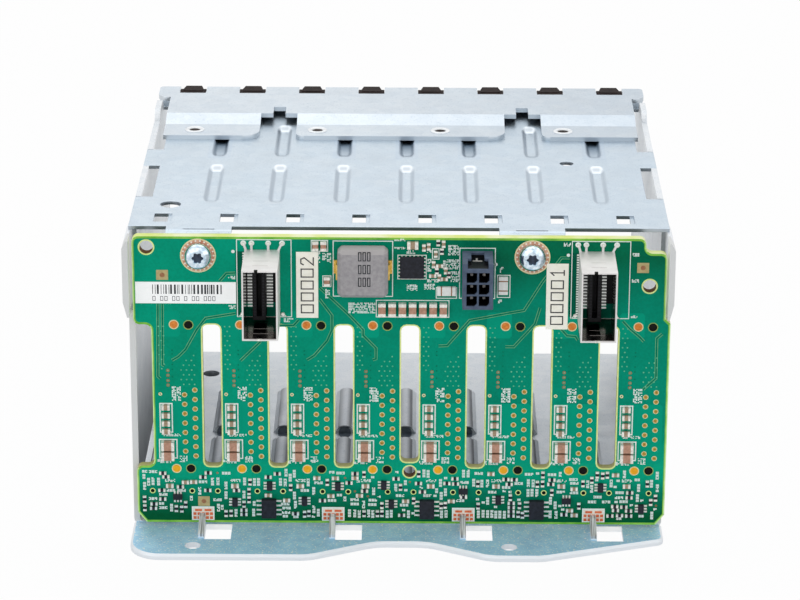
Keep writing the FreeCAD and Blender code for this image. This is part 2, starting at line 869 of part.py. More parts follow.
def make_power_header():
    """Six-way housing with a cut corner in each cell and a latch recess that narrows to a groove."""
    top = board_top - header_drop
    front = board_rear - header_depth
    half = header_width / 2
    body = box(header_x - half, header_x + half, front, board_rear, top - header_height, top)
    cuts = []
    for x, z in header_cells():
        left = x - header_cell / 2
        right = x + header_cell / 2
        low = z - header_cell / 2
        high = z + header_cell / 2
        outline = [(left, low, 0), (right - header_key, low, 0), (right, low + header_key, 0),
                   (right, high, 0), (left, high, 0)]
        cell = rounded_face(outline, upright(front - 1))
        cuts.append(cell.extrude(Vector(0, header_cell_depth + 1, 0)))
    latch_floor = top - header_latch_drop
    latch = header_latch_width / 2
    latch_end = front + header_latch_depth
    cuts.append(box(header_x - latch, header_x + latch, front - 1, latch_end, latch_floor, top + 1))
    groove = header_groove_width / 2
    groove_end = board_rear - header_groove_end
    cuts.append(box(header_x - groove, header_x + groove, latch_end, groove_end, latch_floor, top + 1))
    return body.cut(Part.makeCompound(cuts))


def make_power_pins():
    floor = board_rear - header_depth + header_cell_depth
    half = pin_width / 2
    pins = []
    for x, z in header_cells():
        pins.append(box(x - half, x + half, floor - pin_length, floor, z - half, z + half))
    return Part.makeCompound(pins)


def coil_middle():
    return board_top - coil_drop - coil_height / 2


def make_inductor_body():
    body = on_board(coil_x, coil_middle(), coil_width, coil_height, coil_depth)
    outer_edges = [edge for edge in body.Edges if edge.BoundBox.YMin < board_rear - coil_round]
    return body.makeChamfer(coil_round, outer_edges)


def make_inductor_terminals():
    """Strips at the middle of both sides of the coil body, standing on the board."""
    strips = []
    for side in (-1, 1):
        edge = side * coil_width / 2
        near, far = sorted((edge, edge + side * coil_terminal_sheet))
        z = coil_middle()
        strips.append(box(coil_x + near, coil_x + far, board_rear - coil_terminal_depth, board_rear,
                          z - coil_terminal_width / 2, z + coil_terminal_width / 2))
    return Part.makeCompound(strips)


def make_board_screws():
    """Two pan-head screws with a star recess, through the board into the tabs of the top panel."""
    screws = []
    for x in tab_places:
        head_front = board_rear - screw_head_height
        head = rod_along_y(x, screw_height, screw_head, head_front, board_rear)
        rim = [edge for edge in head.Edges if edge.BoundBox.YMax < board_rear - screw_head_height / 2]
        head = head.makeChamfer(screw_head_height / 3, rim)
        shank = peg(x, screw_height, screw_shank, board_rear, board_rear + screw_length)
        screw = head.fuse(shank)
        for turn in (0, 60, 120):
            arm = box(-screw_star / 2, screw_star / 2, head_front - 1, head_front + screw_star_depth,
                      -screw_star / 5, screw_star / 5)
            arm.rotate(Vector(0, 0, 0), Vector(0, 1, 0), turn)
            arm.translate(Vector(x, 0, screw_height))
            screw = screw.cut(arm)
        screws.append(screw)
    return Part.makeCompound(screws)


def make_regulator_chip():
    x = slot_x(middle_slot) + regulator_shift
    return on_board(x, board_top - regulator_drop, regulator_width, regulator_length, regulator_height)


def make_driver_chips():
    """Eight-lead chips at the foot of the board."""
    z = board_bottom + chip_rise
    places = [lane_x(lane) + shift for lane, shift in driver_chip_places if lane < bay_count]
    return Part.makeCompound([on_board(x, z, chip_width, chip_length, chip_height) for x in places])


def make_small_chips():
    """Small switching chips along the lower edge of the board."""
    chips = []
    for places, width, length in ((upright_chip_places, small_chip_width, small_chip_length),
                                  (level_chip_places, small_chip_length, small_chip_width)):
        for lane, shift, rise in places:
            if lane < bay_count:
                chips.append(on_board(lane_x(lane) + shift, board_bottom + rise, width, length,
                                      small_chip_height))
    return Part.makeCompound(chips)


def make_bulk_capacitors():
    middle = slot_x(middle_slot) + bulk_shift
    z = board_top - bulk_drop
    caps = []
    for index in range(bulk_count):
        x = middle + (index - (bulk_count - 1) / 2) * bulk_pitch
        caps.append(on_board(x, z, bulk_width, bulk_length, bulk_height))
    return Part.makeCompound(caps)


def make_lane_capacitors():
    caps = []
    for lane in range(bay_count):
        for index in range(lane_cap_count):
            z = board_bottom + lane_cap_rise - index * lane_cap_pitch
            caps.append(on_board(lane_x(lane) - lane_cap_shift, z, lane_cap_width, lane_cap_length,
                                 lane_cap_height))
    return Part.makeCompound(caps)


def make_lane_bulk_capacitors():
    caps = []
    for lane in range(bay_count):
        for index in range(lane_bulk_count):
            z = board_bottom + lane_bulk_rise - index * lane_bulk_pitch
            caps.append(on_board(lane_x(lane) - lane_bulk_shift, z, lane_bulk_width, lane_bulk_length,
                                 lane_bulk_height))
    return Part.makeCompound(caps)


def make_fuses():
    """One upright fuse right of the power header and one level fuse at its lower left."""
    right = header_x + header_width / 2 + fuse_gap + fuse_width / 2
    left = header_x - header_width / 2 - fuse_gap - fuse_length / 2
    upright_fuse = on_board(right, board_top - upright_fuse_drop, fuse_width, fuse_length, fuse_height)
    level_fuse = on_board(left, board_top - level_fuse_drop, fuse_length, fuse_width, fuse_height)
    return Part.makeCompound([upright_fuse, level_fuse])


def make_serial_label():
    left = board_left + serial_label_inset
    top = board_top - serial_label_drop
    return box(left, left + serial_label_width, board_rear - label_sheet, board_rear,
               top - serial_label_height, top)


def make_port_label(index):
    """Label beside a port: the first stands right of a screw head, the second right of its port."""
    top = board_top - (first_label_drop, second_label_drop)[index]
    screw_edge = tab_places[1] + screw_head / 2 + port_label_gap
    left = (screw_edge, port_places[1] + port_label_shift - port_label_width / 2)[index]
    return box(left, left + port_label_width, board_rear - label_sheet, board_rear,
               top - port_label_height, top)


def all_parts():
    parts = {
        "tray": make_tray(),
        "top_panel": make_top_panel(),
        "front_brace": make_front_brace(),
        "brace_eyelets": make_brace_eyelets(),
        "backplane_board": make_backplane_board(),
        "board_screws": make_board_screws(),
        "power_header": make_power_header(),
        "power_pins": make_power_pins(),
        "inductor_body": make_inductor_body(),
        "inductor_terminals": make_inductor_terminals(),
        "regulator_chip": make_regulator_chip(),
        "driver_chips": make_driver_chips(),
        "small_chips": make_small_chips(),
        "bulk_capacitors": make_bulk_capacitors(),
        "lane_capacitors": make_lane_capacitors(),
        "lane_bulk_capacitors": make_lane_bulk_capacitors(),
        "fuses": make_fuses(),
        "serial_label": make_serial_label(),
    }
    for index in range(bay_count):
        parts["front_clip_%d" % (index + 1)] = make_front_clip(index)
        parts["drive_connector_%d" % (index + 1)] = make_drive_connector(index)
    for index, x in enumerate(port_places):
        parts["port_shell_%d" % (index + 1)] = make_port_shell(x)
        parts["port_insert_%d" % (index + 1)] = make_port_insert(x)
        parts["port_contacts_%d" % (index + 1)] = make_port_contacts(x)
        parts["port_label_%d" % (index + 1)] = make_port_label(index)
    return parts


def main():
    os.makedirs("parts", exist_ok=True)
    for name, shape in all_parts().items():
        shape.exportStep(os.path.join("parts", name + ".step"))


main()
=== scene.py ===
# Looks of the hard drive cage: finishes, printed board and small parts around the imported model
import math
import random

import bmesh
import bpy
from mathutils import Matrix, Vector


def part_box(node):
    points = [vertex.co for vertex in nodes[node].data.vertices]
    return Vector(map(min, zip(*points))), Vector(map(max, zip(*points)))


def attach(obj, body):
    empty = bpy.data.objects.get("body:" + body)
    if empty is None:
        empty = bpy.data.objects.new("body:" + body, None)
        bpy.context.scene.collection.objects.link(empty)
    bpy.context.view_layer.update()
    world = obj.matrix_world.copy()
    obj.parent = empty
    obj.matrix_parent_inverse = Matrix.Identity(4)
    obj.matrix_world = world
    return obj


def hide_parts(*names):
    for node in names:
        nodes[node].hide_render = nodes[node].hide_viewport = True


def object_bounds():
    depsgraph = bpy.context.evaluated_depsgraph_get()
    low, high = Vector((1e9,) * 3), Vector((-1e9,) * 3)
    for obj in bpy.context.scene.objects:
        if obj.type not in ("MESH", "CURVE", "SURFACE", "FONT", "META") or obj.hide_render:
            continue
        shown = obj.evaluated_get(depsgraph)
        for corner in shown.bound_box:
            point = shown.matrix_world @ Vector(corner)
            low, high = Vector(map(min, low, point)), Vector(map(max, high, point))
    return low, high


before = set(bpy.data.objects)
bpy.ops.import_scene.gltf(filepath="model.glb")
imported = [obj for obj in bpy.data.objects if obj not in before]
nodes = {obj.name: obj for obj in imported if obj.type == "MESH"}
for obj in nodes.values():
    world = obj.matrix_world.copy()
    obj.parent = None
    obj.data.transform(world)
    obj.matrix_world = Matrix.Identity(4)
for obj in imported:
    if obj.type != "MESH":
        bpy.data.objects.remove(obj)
cad_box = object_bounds()
scene = bpy.context.scene
scene.view_settings.view_transform = "Standard"

# Shapes are in millimetres and scaled to metres when a mesh is made; materials work in metres
MM = 0.001
dice = random.Random(8)


def span(node):
    """Lowest and highest corner of a CAD node, in millimetres."""
    low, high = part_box(node)
    return low / MM, high / MM


def middle_of(low, high):
    """Middle of a box as seen from the rear."""
    return (low.x + high.x) / 2, (low.z + high.z) / 2


def solids_of(node):
    """Lowest and highest corner of each separate solid in a CAD node, from left to right."""
    mesh = nodes[node].data
    groups = []
    for polygon in mesh.polygons:
        joined = {tuple(round(c / MM, 3) for c in mesh.vertices[i].co) for i in polygon.vertices}
        apart = []
        for group in groups:
            if group & joined:
                joined |= group
            else:
                apart.append(group)
        groups = apart + [joined]
    boxes = [[Vector([pick(axis) for axis in zip(*group)]) for pick in (min, max)] for group in groups]
    return sorted(boxes, key=lambda box: (round(box[0].x, 1), -box[0].z))


# Places read from the frame
board_low, board_high = span("backplane_board")
face = board_low.y
connectors = sorted(sum(corner.x for corner in span(f"drive_connector_{i + 1}")) / 2 for i in range(8))
connector_to_lane = 2.55
lanes = [x - connector_to_lane for x in connectors]
lane_pitch = lanes[1] - lanes[0]
hook_places = [steps * lane_pitch for steps in (-3, -1, 1, 3)]
screw_boxes = solids_of("board_screws")
brace_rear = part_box("front_brace")[0].y
panel_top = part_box("top_panel")[1].z

# Upper face of the tray's floor and flange
flange_top = 1.5

# Heights of what lies on the board's rear face
sink = 0.02
pour_height = 0.010
rim_height = 0.014
gap_height = 0.018
trace_height = 0.026
via_height = 0.032
pad_height = 0.04
mark_height = 0.046
print_height = 0.052


# Materials

# Gloss of the board's lacquer, and the painted shade over the top panel's right end
mask_gloss = 0.05
sheet_fade = (249, 250, 251)
white = (255, 255, 255)
paints = {}


def linear(red, green, blue):
    """Screen colour, 0 to 255, as a linear colour."""
    def step(value):
        value /= 255
        return value / 12.92 if value <= 0.04045 else ((value + 0.055) / 1.055) ** 2.4
    return step(red), step(green), step(blue), 1.0


class Paint:
    """Nodes of a material or the world, with short ways to make textures; colours are screen colours."""

    def __init__(self, owner):
        owner.use_nodes = True
        self.tree = owner.node_tree
        self.shader = self.tree.nodes.get("Principled BSDF") or self.tree.nodes["Background"]
        self.place = self.node("TexCoord").outputs

    def feed(self, socket, value):
        """Gives a socket a number, a screen colour or the output of another node."""
        if isinstance(value, bpy.types.NodeSocket):
            self.tree.links.new(value, socket)
        else:
            socket.default_value = linear(*value) if isinstance(value, tuple) else value

    def node(self, kind, inputs=None, **settings):
        """New node with some settings and inputs."""
        made = self.tree.nodes.new("ShaderNode" + kind)
        for name, value in settings.items():
            setattr(made, name, value)
        for name, value in (inputs or {}).items():
            self.feed(made.inputs[name], value)
        return made

    def shade(self, inputs):
        """Sets inputs of the surface shader."""
        for name, value in inputs.items():
            self.feed(self.shader.inputs[name], value)

    def reckon(self, operation, *values, clamp=False):
        """Result of a sum on values or numbers."""
        return self.node("Math", dict(enumerate(values)), operation=operation, use_clamp=clamp).outputs[0]

    def times(self, *values):
        """Product of some values."""
        total = values[0]
        for value in values[1:]:
            total = self.reckon("MULTIPLY", total, value)
        return total

    def part_of(self, output, axis):
        """One axis of the object's place or normal."""
        return self.node("SeparateXYZ", {"Vector": self.place[output]}).outputs[axis]

    def noise(self, scale, detail=3.0, stretch=(1, 1, 1)):
        """Noise value over the object, with about scale bumps per metre."""
        mapping = self.node("Mapping", {"Vector": self.place["Object"]})
        mapping.inputs["Scale"].default_value = stretch
        inputs = {"Vector": mapping.outputs["Vector"], "Scale": scale, "Detail": detail}
        return self.node("TexNoise", inputs).outputs["Fac"]

    def cells(self, scale):
        """Random value for each cell of a pattern with about scale cells per metre."""
        texture = self.node("TexVoronoi", {"Vector": self.place["Object"], "Scale": scale})
        return self.node("SeparateColor", {"Color": texture.outputs["Color"]}).outputs["Red"]

    def ramp(self, value, *stops):
        """Colour ramp through (place, colour) stops."""
        made = self.node("ValToRGB", {"Fac": value})
        elements = made.color_ramp.elements
        for i, (position, colour) in enumerate((stops[0], stops[-1])):
            elements[i].position = position
            elements[i].color = linear(*colour)
        for position, colour in stops[1:-1]:
            elements.new(position).color = linear(*colour)
        return made.outputs["Color"]

    def mottle(self, dark, light, scale, detail=3.0, start=0.35, end=0.65):
        """Noise between two colours."""
        return self.ramp(self.noise(scale, detail), (start, dark), (end, light))

    def rise(self, value, start, end, low=0.0, high=1.0):
        """Value that goes from low to high while another goes from start to end, up or down."""
        inputs = {"Value": value, "From Min": start, "From Max": end, "To Min": low, "To Max": high}
        return self.node("MapRange", inputs).outputs["Result"]

    def mix(self, factor, first, second, blend="MIX"):
        """Mix of two colours; factor may be a number or a value."""
        inputs = {0: factor, 6: first, 7: second}
        return self.node("Mix", inputs, data_type="RGBA", blend_type=blend).outputs[2]

    def tinted(self, colour, *tints):
        """Colour multiplied by some tints."""
        for tint in tints:
            colour = self.mix(1.0, colour, tint, "MULTIPLY")
        return colour

    def rough(self, value, low, high):
        self.shade({"Roughness": self.rise(value, 0.3, 0.7, low, high)})

    def bump(self, value, strength, distance):
        """Bump of that height, in millimetres."""
        made = self.node("Bump", {"Strength": strength, "Distance": distance * MM, "Height": value})
        self.shade({"Normal": made.outputs["Normal"]})

    def seen_directly(self):
        """One for camera, glossy and transmission rays, nought for the rest."""
        path = self.node("LightPath").outputs
        total = path["Is Camera Ray"]
        for name in ("Is Glossy Ray", "Is Transmission Ray"):
            total = self.reckon("ADD", total, path[name], clamp=True)
        return total


def new_paint(name):
    """New material, kept under its name."""
    paints[name] = bpy.data.materials.new(name)
    return Paint(paints[name])


def plain(name, dark, light, scale, rough, metallic=0.0, bump=0.0, specular=0.5, glow=0.0, top=None):
    """Material whose colour, roughness and fine bump follow noise; top is the colour of its upper faces."""
    paint = new_paint(name)
    fine = paint.noise(scale * 6, 2.0)
    body = paint.mottle(dark, light, scale, 3.0, 0.32, 0.68)
    if top:
        body = paint.mix(paint.rise(paint.part_of("Normal", "Z"), 0.3, 0.7), body, top)
    paint.shade({"Base Color": body, "Metallic": metallic, "Specular IOR Level": specular})
    paint.rough(fine, *rough)
    if bump:
        paint.bump(fine, 0.6, bump)
    if glow:
        paint.shade({"Emission Color": body, "Emission Strength": glow})


def hollow(name, dark, light, inside, node, wall, lip):
    """Moulded plastic of a box-like node, with painted shade, nearly black, within its walls and behind the
    lip of its mouth.
    """
    paint = new_paint(name)
    low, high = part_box(node)
    inset, soft = wall * MM, 0.1 * MM
    x, y, z = (paint.part_of("Object", axis) for axis in "XYZ")
    masks = [paint.rise(y, low.y + lip * MM, low.y + lip * MM + soft)]
    for value, start, end in ((x, low.x, high.x), (z, low.z, high.z)):
        masks.append(paint.rise(value, start + inset, start + inset + soft))
        masks.append(paint.rise(value, end - inset, end - inset - soft))
    body = paint.mottle(dark, light, 500, 3.0, 0.32, 0.68)
    paint.shade({"Base Color": paint.mix(paint.times(*masks), body, inside), "Specular IOR Level": 0.1})
    paint.rough(paint.noise(3000, 2.0), 0.35, 0.5)


def zinc_sheet(name, dark, light, rough=(0.3, 0.4), metallic=1.0, edge_shade=None, fade=None):
    """Galvanised sheet: faint spangle, clouds and fine speckle, with painted shade on the cut edges
    and over the right half where asked for."""
    paint = new_paint(name)
    cloud = paint.mottle(dark, light, 28, 3.0, 0.3, 0.7)
    spangle = paint.ramp(paint.cells(420), (0.0, (246, 248, 250)), (1.0, white))
    speck = paint.mottle((228, 232, 236), white, 2600, 2.0, 0.3, 0.42)
    body = paint.tinted(cloud, spangle, speck)
    # Upright faces take the edge colour: painted shade on the cut edges
    if edge_shade:
        level = paint.reckon("ABSOLUTE", paint.part_of("Normal", "Z"))
        body = paint.mix(paint.rise(level, 0.2, 0.45), edge_shade, body)
    # Painted shade growing towards the right end
    if fade:
        body = paint.mix(paint.rise(paint.part_of("Object", "X"), -0.02, 0.06), body, fade, "MULTIPLY")
    paint.body = body
    paint.shade({"Base Color": body, "Metallic": metallic})
    paint.rough(paint.noise(160), *rough)
    paint.bump(paint.noise(900), 0.08, 0.02)
    return paint


def filmed_sheet(name, dark, light, film_dark, film_light, rim):
    """Duller zinc sheet of the tray, with a bluish film on the flange behind the board, streaks on the hooks,
    painted shade low on the inner faces of the side walls, and a faint glow on the side walls, painted light
    for what the bright surroundings throw on them."""
    paint = zinc_sheet(name, dark, light, rough=(0.44, 0.56), metallic=0.4)
    x, y, height = (paint.part_of("Object", axis) for axis in "XYZ")
    normal_x = paint.part_of("Normal", "X")
    specks = paint.mottle((0, 0, 0), white, 1900, 1.0, 0.62, 0.68)
    film = paint.mix(1.0, paint.mottle(film_dark, film_light, 420, 4.0), specks, "SCREEN")
    grain = paint.noise(900, 2.0, (3, 0.1, 0.1))
    streaks = paint.ramp(grain, (0.36, (112, 112, 110)), (0.58, (222, 224, 225)))
    between_walls = paint.rise(paint.reckon("ABSOLUTE", x), 0.06, 0.058)
    hooks = paint.mix(between_walls, (208, 210, 210), streaks)
    level = paint.rise(paint.part_of("Normal", "Z"), 0.8, 0.95)
    raised = paint.rise(height, 1.6 * MM, 1.9 * MM)
    rear = paint.mix(raised, paint.mix(level, rim, film), hooks)
    # Painted shade low on the inner faces of the side walls
    sideways = paint.rise(paint.reckon("ABSOLUTE", normal_x), 0.8, 0.95)
    inward_face = paint.rise(paint.times(x, normal_x), 0.0, -0.03)
    lowness = paint.rise(height, 0.044, 0.012)
    sheet = paint.mix(paint.times(inward_face, sideways, lowness), paint.body, (112, 114, 117))
    behind = paint.rise(y, (face + 3.5) * MM, (face + 2.5) * MM)
    # Faint glow on the side walls: painted light
    glow = paint.times(sideways, paint.rise(height, 0.02, 0.05, 0.0, 0.16))
    paint.shade({"Base Color": paint.mix(behind, sheet, rear), "Emission Color": (232, 232, 232),
                 "Emission Strength": glow})


def bead_sheet(name, dark, light, shade, spot, glint, shadow=None, **finish):
    """Zinc sheet of the pressed beads: painted shade on the side walls, painted highlights with a greyer spot
    at the ends, and a painted shadow near the brace where asked for."""
    paint = zinc_sheet(name, dark, light, **finish)
    normal_x = paint.part_of("Normal", "X")
    # Painted shade on the side walls: full on walls facing +x, half on walls facing -x
    far_side = paint.rise(normal_x, -0.06, -0.4, 0.0, 0.5)
    body = paint.mix(paint.rise(normal_x, 0.06, 0.4), paint.mix(far_side, paint.body, shade), shade)
    if shadow:
        near = paint.rise(paint.part_of("Object", "Y"), brace_rear - 0.013, brace_rear - 0.002)
        inside = paint.rise(paint.part_of("Object", "Z"), panel_top - 0.00005, panel_top - 0.0003)
        body = paint.mix(paint.times(near, inside), body, shadow)
    # Painted highlight on the end ramps, with a greyer spot where they are steepest
    slope = paint.rise(paint.part_of("Normal", "Y"), -0.28, 0.0)
    bright = paint.ramp(slope, (0.0, spot), (0.36, glint), (0.52, glint), (0.92, light))
    paint.shade({"Base Color": paint.mix(paint.rise(slope, 0.95, 0.7), body, bright)})


def solder_mask(name, left_colour, right_colour, low_colour, front_shade, edge_dark, edge_light):
    """Green lacquer over woven glass, darker at its foot, with painted shade on its front face and along the
    top to the right, and bare laminate on the cut edges, with painted shade on those lower down.
    """
    paint = new_paint(name)
    x, z = paint.part_of("Object", "X"), paint.part_of("Object", "Z")
    normal_y = paint.part_of("Normal", "Y")
    upper = paint.mix(paint.rise(x, -0.05, 0.02), left_colour, right_colour)
    # Painted shade along the top of the board, towards the right
    top_right_shade = paint.times(paint.rise(z, 0.062, 0.074), paint.rise(x, -0.04, 0.03))
    upper = paint.mix(top_right_shade, upper, (0, 114, 80))
    lifted = paint.times(paint.rise(z, 0.012, 0.016), paint.rise(z, 0.034, 0.02))
    upper = paint.mix(lifted, upper, (4, 172, 136))
    rear = paint.mix(paint.rise(z, 0.0045, 0.0145), low_colour, upper)
    # Painted shade on the front face
    body = paint.mix(paint.rise(normal_y, -0.5, 0.5), rear, front_shade)
    cloud = paint.mottle((228, 234, 232), white, 60, 4.0)
    weave = paint.mottle((242, 245, 243), white, 1500, 1.0, 0.35, 0.6)
    lacquer = paint.tinted(body, cloud, weave)
    edge = paint.mottle(edge_dark, edge_light, 160, 2.0)
    # Painted shade: cut edges lower down take a darker beige
    edge = paint.mix(paint.rise(z, 0.058, 0.062), (198, 196, 132), edge)
    flat = paint.rise(paint.reckon("ABSOLUTE", normal_y), 0.6, 0.8)
    paint.shade({"Base Color": paint.mix(flat, edge, lacquer), "Specular IOR Level": mask_gloss})
    paint.rough(paint.noise(300), 0.3, 0.42)
    paint.bump(paint.noise(1500, 1.0), 0.15, 0.01)


# Sheet metal, with painted shade on its cut edges, towards the right and in the beads
zinc_sheet("panel", (194, 206, 215), (198, 209, 218), edge_shade=(178, 186, 194), fade=sheet_fade)
bead_sheet("bead", (194, 206, 215), (198, 209, 218), (170, 182, 193), (164, 172, 180), (216, 223, 229),
           fade=sheet_fade)
bead_sheet("dim_bead", (190, 203, 214), (194, 206, 217), (150, 164, 178), (150, 164, 176), (180, 193, 204),
           (104, 124, 142), fade=sheet_fade)
zinc_sheet("brace", (202, 210, 217), (207, 215, 221), edge_shade=(200, 207, 213), fade=(238, 240, 242))
filmed_sheet("tray", (226, 230, 233), (234, 237, 240), (170, 216, 246), (190, 231, 255), (228, 233, 238))
bead_sheet("tray_bead", (206, 209, 213), (214, 217, 221), (104, 107, 113), (206, 209, 213), (206, 209, 213),
           rough=(0.44, 0.56), metallic=0.4)
# Mouth: grey plates of painted shade at the open ends of the tray's beads
plain("mouth", (112, 120, 130), (136, 144, 154), 900, (0.6, 0.8), specular=0.05)
# Lining: near-white and glowing, painted light on the cut edges of the flange windows
plain("lining", (244, 246, 248), (253, 254, 255), 600, (0.5, 0.6), glow=0.25)
plain("eyelet", (226, 230, 233), (242, 245, 247), 300, (0.3, 0.4), metallic=0.3)
# Eyelet bore: dark colour, painted shade in the bore
plain("eyelet_bore", (96, 90, 88), (120, 112, 108), 300, (0.5, 0.6), specular=0.2)
plain("screw", (168, 190, 208), (234, 245, 252), 900, (0.14, 0.24), metallic=1.0)
# Screw recess: dark colour, painted shade in the recess
plain("screw_dark", (36, 44, 60), (62, 74, 94), 900, (0.3, 0.4), specular=0.3)

# Board, its lacquer over copper and its bare edges
solder_mask("board", (0, 160, 128), (0, 149, 121), (0, 98, 57), (0, 74, 52), (232, 244, 140), (252, 255, 206))
plain("light_mask", (84, 168, 122), (122, 186, 138), 500, (0.3, 0.42), specular=mask_gloss)
plain("dark_mask", (0, 116, 88), (0, 126, 96), 500, (0.3, 0.42), specular=mask_gloss)
plain("pour", (0, 154, 124), (0, 160, 129), 120, (0.3, 0.42), specular=mask_gloss)
plain("port_shade", (0, 88, 66), (0, 96, 72), 500, (0.3, 0.42), specular=mask_gloss)
plain("bright_trace", (72, 178, 138), (120, 202, 160), 900, (0.3, 0.45), specular=0.2)
plain("laminate", (218, 236, 132), (240, 250, 178), 900, (0.45, 0.6), specular=0.2)
plain("edge_green", (104, 180, 56), (150, 212, 84), 300, (0.45, 0.6), specular=0.2)
plain("lime", (192, 234, 140), (220, 246, 180), 300, (0.45, 0.6), specular=0.2)
plain("olive", (142, 166, 84), (176, 196, 112), 1200, (0.45, 0.6), specular=0.2)
plain("sand", (176, 160, 112), (196, 180, 130), 900, (0.4, 0.55), specular=0.2)
# Hole wall: brown, painted shade on the lower inner walls of round holes
plain("hole_wall", (92, 62, 34), (134, 96, 56), 1600, (0.5, 0.65), specular=0.1)
plain("void", (10, 12, 10), (22, 24, 20), 900, (0.6, 0.8), specular=0.1)

# Copper, solder and tinned metal
plain("copper", (208, 116, 36), (234, 146, 62), 1600, (0.3, 0.45), specular=0.3)
plain("amber", (238, 164, 12), (254, 188, 34), 1600, (0.3, 0.45), specular=0.3)
plain("blush", (186, 118, 86), (224, 176, 146), 1100, (0.3, 0.45), specular=0.3)
plain("rust", (216, 98, 58), (236, 128, 84), 1600, (0.35, 0.5), specular=0.2)
plain("chalk", (232, 222, 206), (246, 238, 226), 1600, (0.4, 0.5), specular=0.2)
plain("brown", (140, 96, 66), (172, 124, 90), 1800, (0.4, 0.5), specular=0.2)
plain("ring", (222, 206, 150), (246, 236, 194), 2200, (0.3, 0.45), specular=0.3)
plain("pinhole", (124, 76, 18), (178, 120, 40), 2200, (0.35, 0.5), specular=0.2)
plain("pin_gold", (158, 122, 38), (204, 166, 76), 2200, (0.3, 0.45), specular=0.3)
plain("gold", (196, 150, 52), (238, 204, 110), 2200, (0.25, 0.4), metallic=0.5)
plain("tin", (208, 206, 198), (246, 244, 236), 1600, (0.25, 0.4), metallic=0.5)
plain("pin_metal", (84, 84, 86), (132, 130, 128), 1600, (0.3, 0.45), metallic=0.7)

# Ports, header, clips and moulded parts
plain("port_metal", (218, 215, 214), (230, 228, 227), 260, (0.38, 0.5), metallic=0.45)
# Port lining: darker brownish gloss, painted shade inside the shell
plain("port_inside", (116, 109, 102), (150, 142, 133), 700, (0.1, 0.18), metallic=1.0)
# Fold: a grey for the creases of the port shells, painted shade, and for painted glints in the header's notch
plain("fold", (184, 180, 177), (202, 198, 195), 700, (0.4, 0.5), metallic=0.4)
plain("tail", (236, 242, 234), (252, 254, 250), 1600, (0.3, 0.45), specular=0.4)
# Contacts glow a little: painted light
plain("glowing_contact", (226, 230, 226), (250, 252, 250), 1600, (0.3, 0.45), glow=0.35)
plain("port_black", (14, 14, 18), (26, 26, 32), 900, (0.4, 0.6), bump=0.02, specular=0.25)
plain("port_speck", (34, 34, 42), (52, 52, 60), 900, (0.4, 0.6), specular=0.25)
hollow("header", (74, 86, 106), (90, 103, 124), (9, 11, 16), "power_header", 0.6, 0.35)
plain("clip", (30, 23, 22), (46, 36, 34), 700, (0.5, 0.65), bump=0.02, specular=0.06)
plain("connector", (22, 22, 24), (34, 34, 36), 800, (0.45, 0.6), bump=0.02)
plain("ferrite", (150, 147, 150), (168, 165, 167), 1200, (0.5, 0.7), bump=0.03, specular=0.3,
      top=(174, 171, 171))
plain("chip", (18, 20, 28), (34, 36, 46), 1500, (0.45, 0.6), bump=0.02, specular=0.25)
plain("capacitor", (150, 128, 104), (178, 156, 130), 1500, (0.35, 0.5), specular=0.3)
plain("rosy", (172, 128, 106), (196, 152, 130), 1500, (0.35, 0.5), specular=0.3)
plain("fuse", (234, 236, 232), (248, 249, 246), 1500, (0.3, 0.45))

# Labels and print; the labels glow a little, as painted light
plain("paper", (248, 250, 250), (254, 255, 255), 600, (0.55, 0.7), glow=0.1)
plain("cream", (240, 238, 224), (248, 246, 235), 600, (0.5, 0.65), glow=0.1)
plain("silk", (230, 242, 236), (248, 253, 250), 1800, (0.5, 0.7), specular=0.2)
plain("ink", (40, 42, 46), (66, 68, 72), 900, (0.5, 0.65), specular=0.2)
plain("pale_ink", (92, 92, 98), (118, 118, 124), 900, (0.5, 0.65), specular=0.2)

# Paint of each node or family of numbered nodes, and how far its folded or moulded edges are rounded
dressing = {
    "tray": ("tray", 0.3), "top_panel": ("panel", 0.35), "front_brace": ("brace", 0.3),
    "brace_eyelets": ("eyelet", 0), "backplane_board": ("board", 0), "board_screws": ("screw", 0),
    "power_header": ("header", 0.25), "power_pins": ("pin_metal", 0), "inductor_body": ("ferrite", 0.35),
    "inductor_terminals": ("gold", 0.1), "regulator_chip": ("chip", 0.1), "driver_chips": ("chip", 0.1),
    "small_chips": ("chip", 0.08), "bulk_capacitors": ("rosy", 0.1), "lane_capacitors": ("capacitor", 0.08),
    "lane_bulk_capacitors": ("rosy", 0.1), "fuses": ("fuse", 0.08), "serial_label": ("paper", 0),
    "front_clip": ("clip", 0.12), "drive_connector": ("connector", 0.15), "port_shell": ("port_metal", 0.1),
    "port_insert": ("port_black", 0.1), "port_contacts": ("glowing_contact", 0), "port_label": ("cream", 0),
}
weld_gap = 0.001
flat_turn = 0.4
edge_turn = 35
for name, node in nodes.items():
    finish, rounding = dressing.get(name) or dressing[name.rsplit("_", 1)[0]]
    node.data.materials.clear()
    node.data.materials.append(paints[finish])
    if not rounding:
        continue
    weld = node.modifiers.new("joined points", "WELD")
    weld.merge_threshold = weld_gap * MM
    if name == "top_panel":
        flat = node.modifiers.new("whole faces", "DECIMATE")
        flat.decimate_type = "DISSOLVE"
        flat.angle_limit = math.radians(flat_turn)
    bevel = node.modifiers.new("rounded edges", "BEVEL")
    bevel.width = rounding * MM
    bevel.segments = 2
    bevel.limit_method = "ANGLE"
    bevel.angle_limit = math.radians(edge_turn)
    bevel.use_clamp_overlap = True


# Meshes

# Smooth pieces keep a hard edge where the surface turns by more than this, in degrees
sharp_turn = 40


def about(x, z, half_x, half_z):
    """Rectangle about a point."""
    return x - half_x, x + half_x, z - half_z, z + half_z


def grown(x0, x1, z0, z1, margin):
    """Rectangle with its sides moved out."""
    return x0 - margin, x1 + margin, z0 - margin, z1 + margin


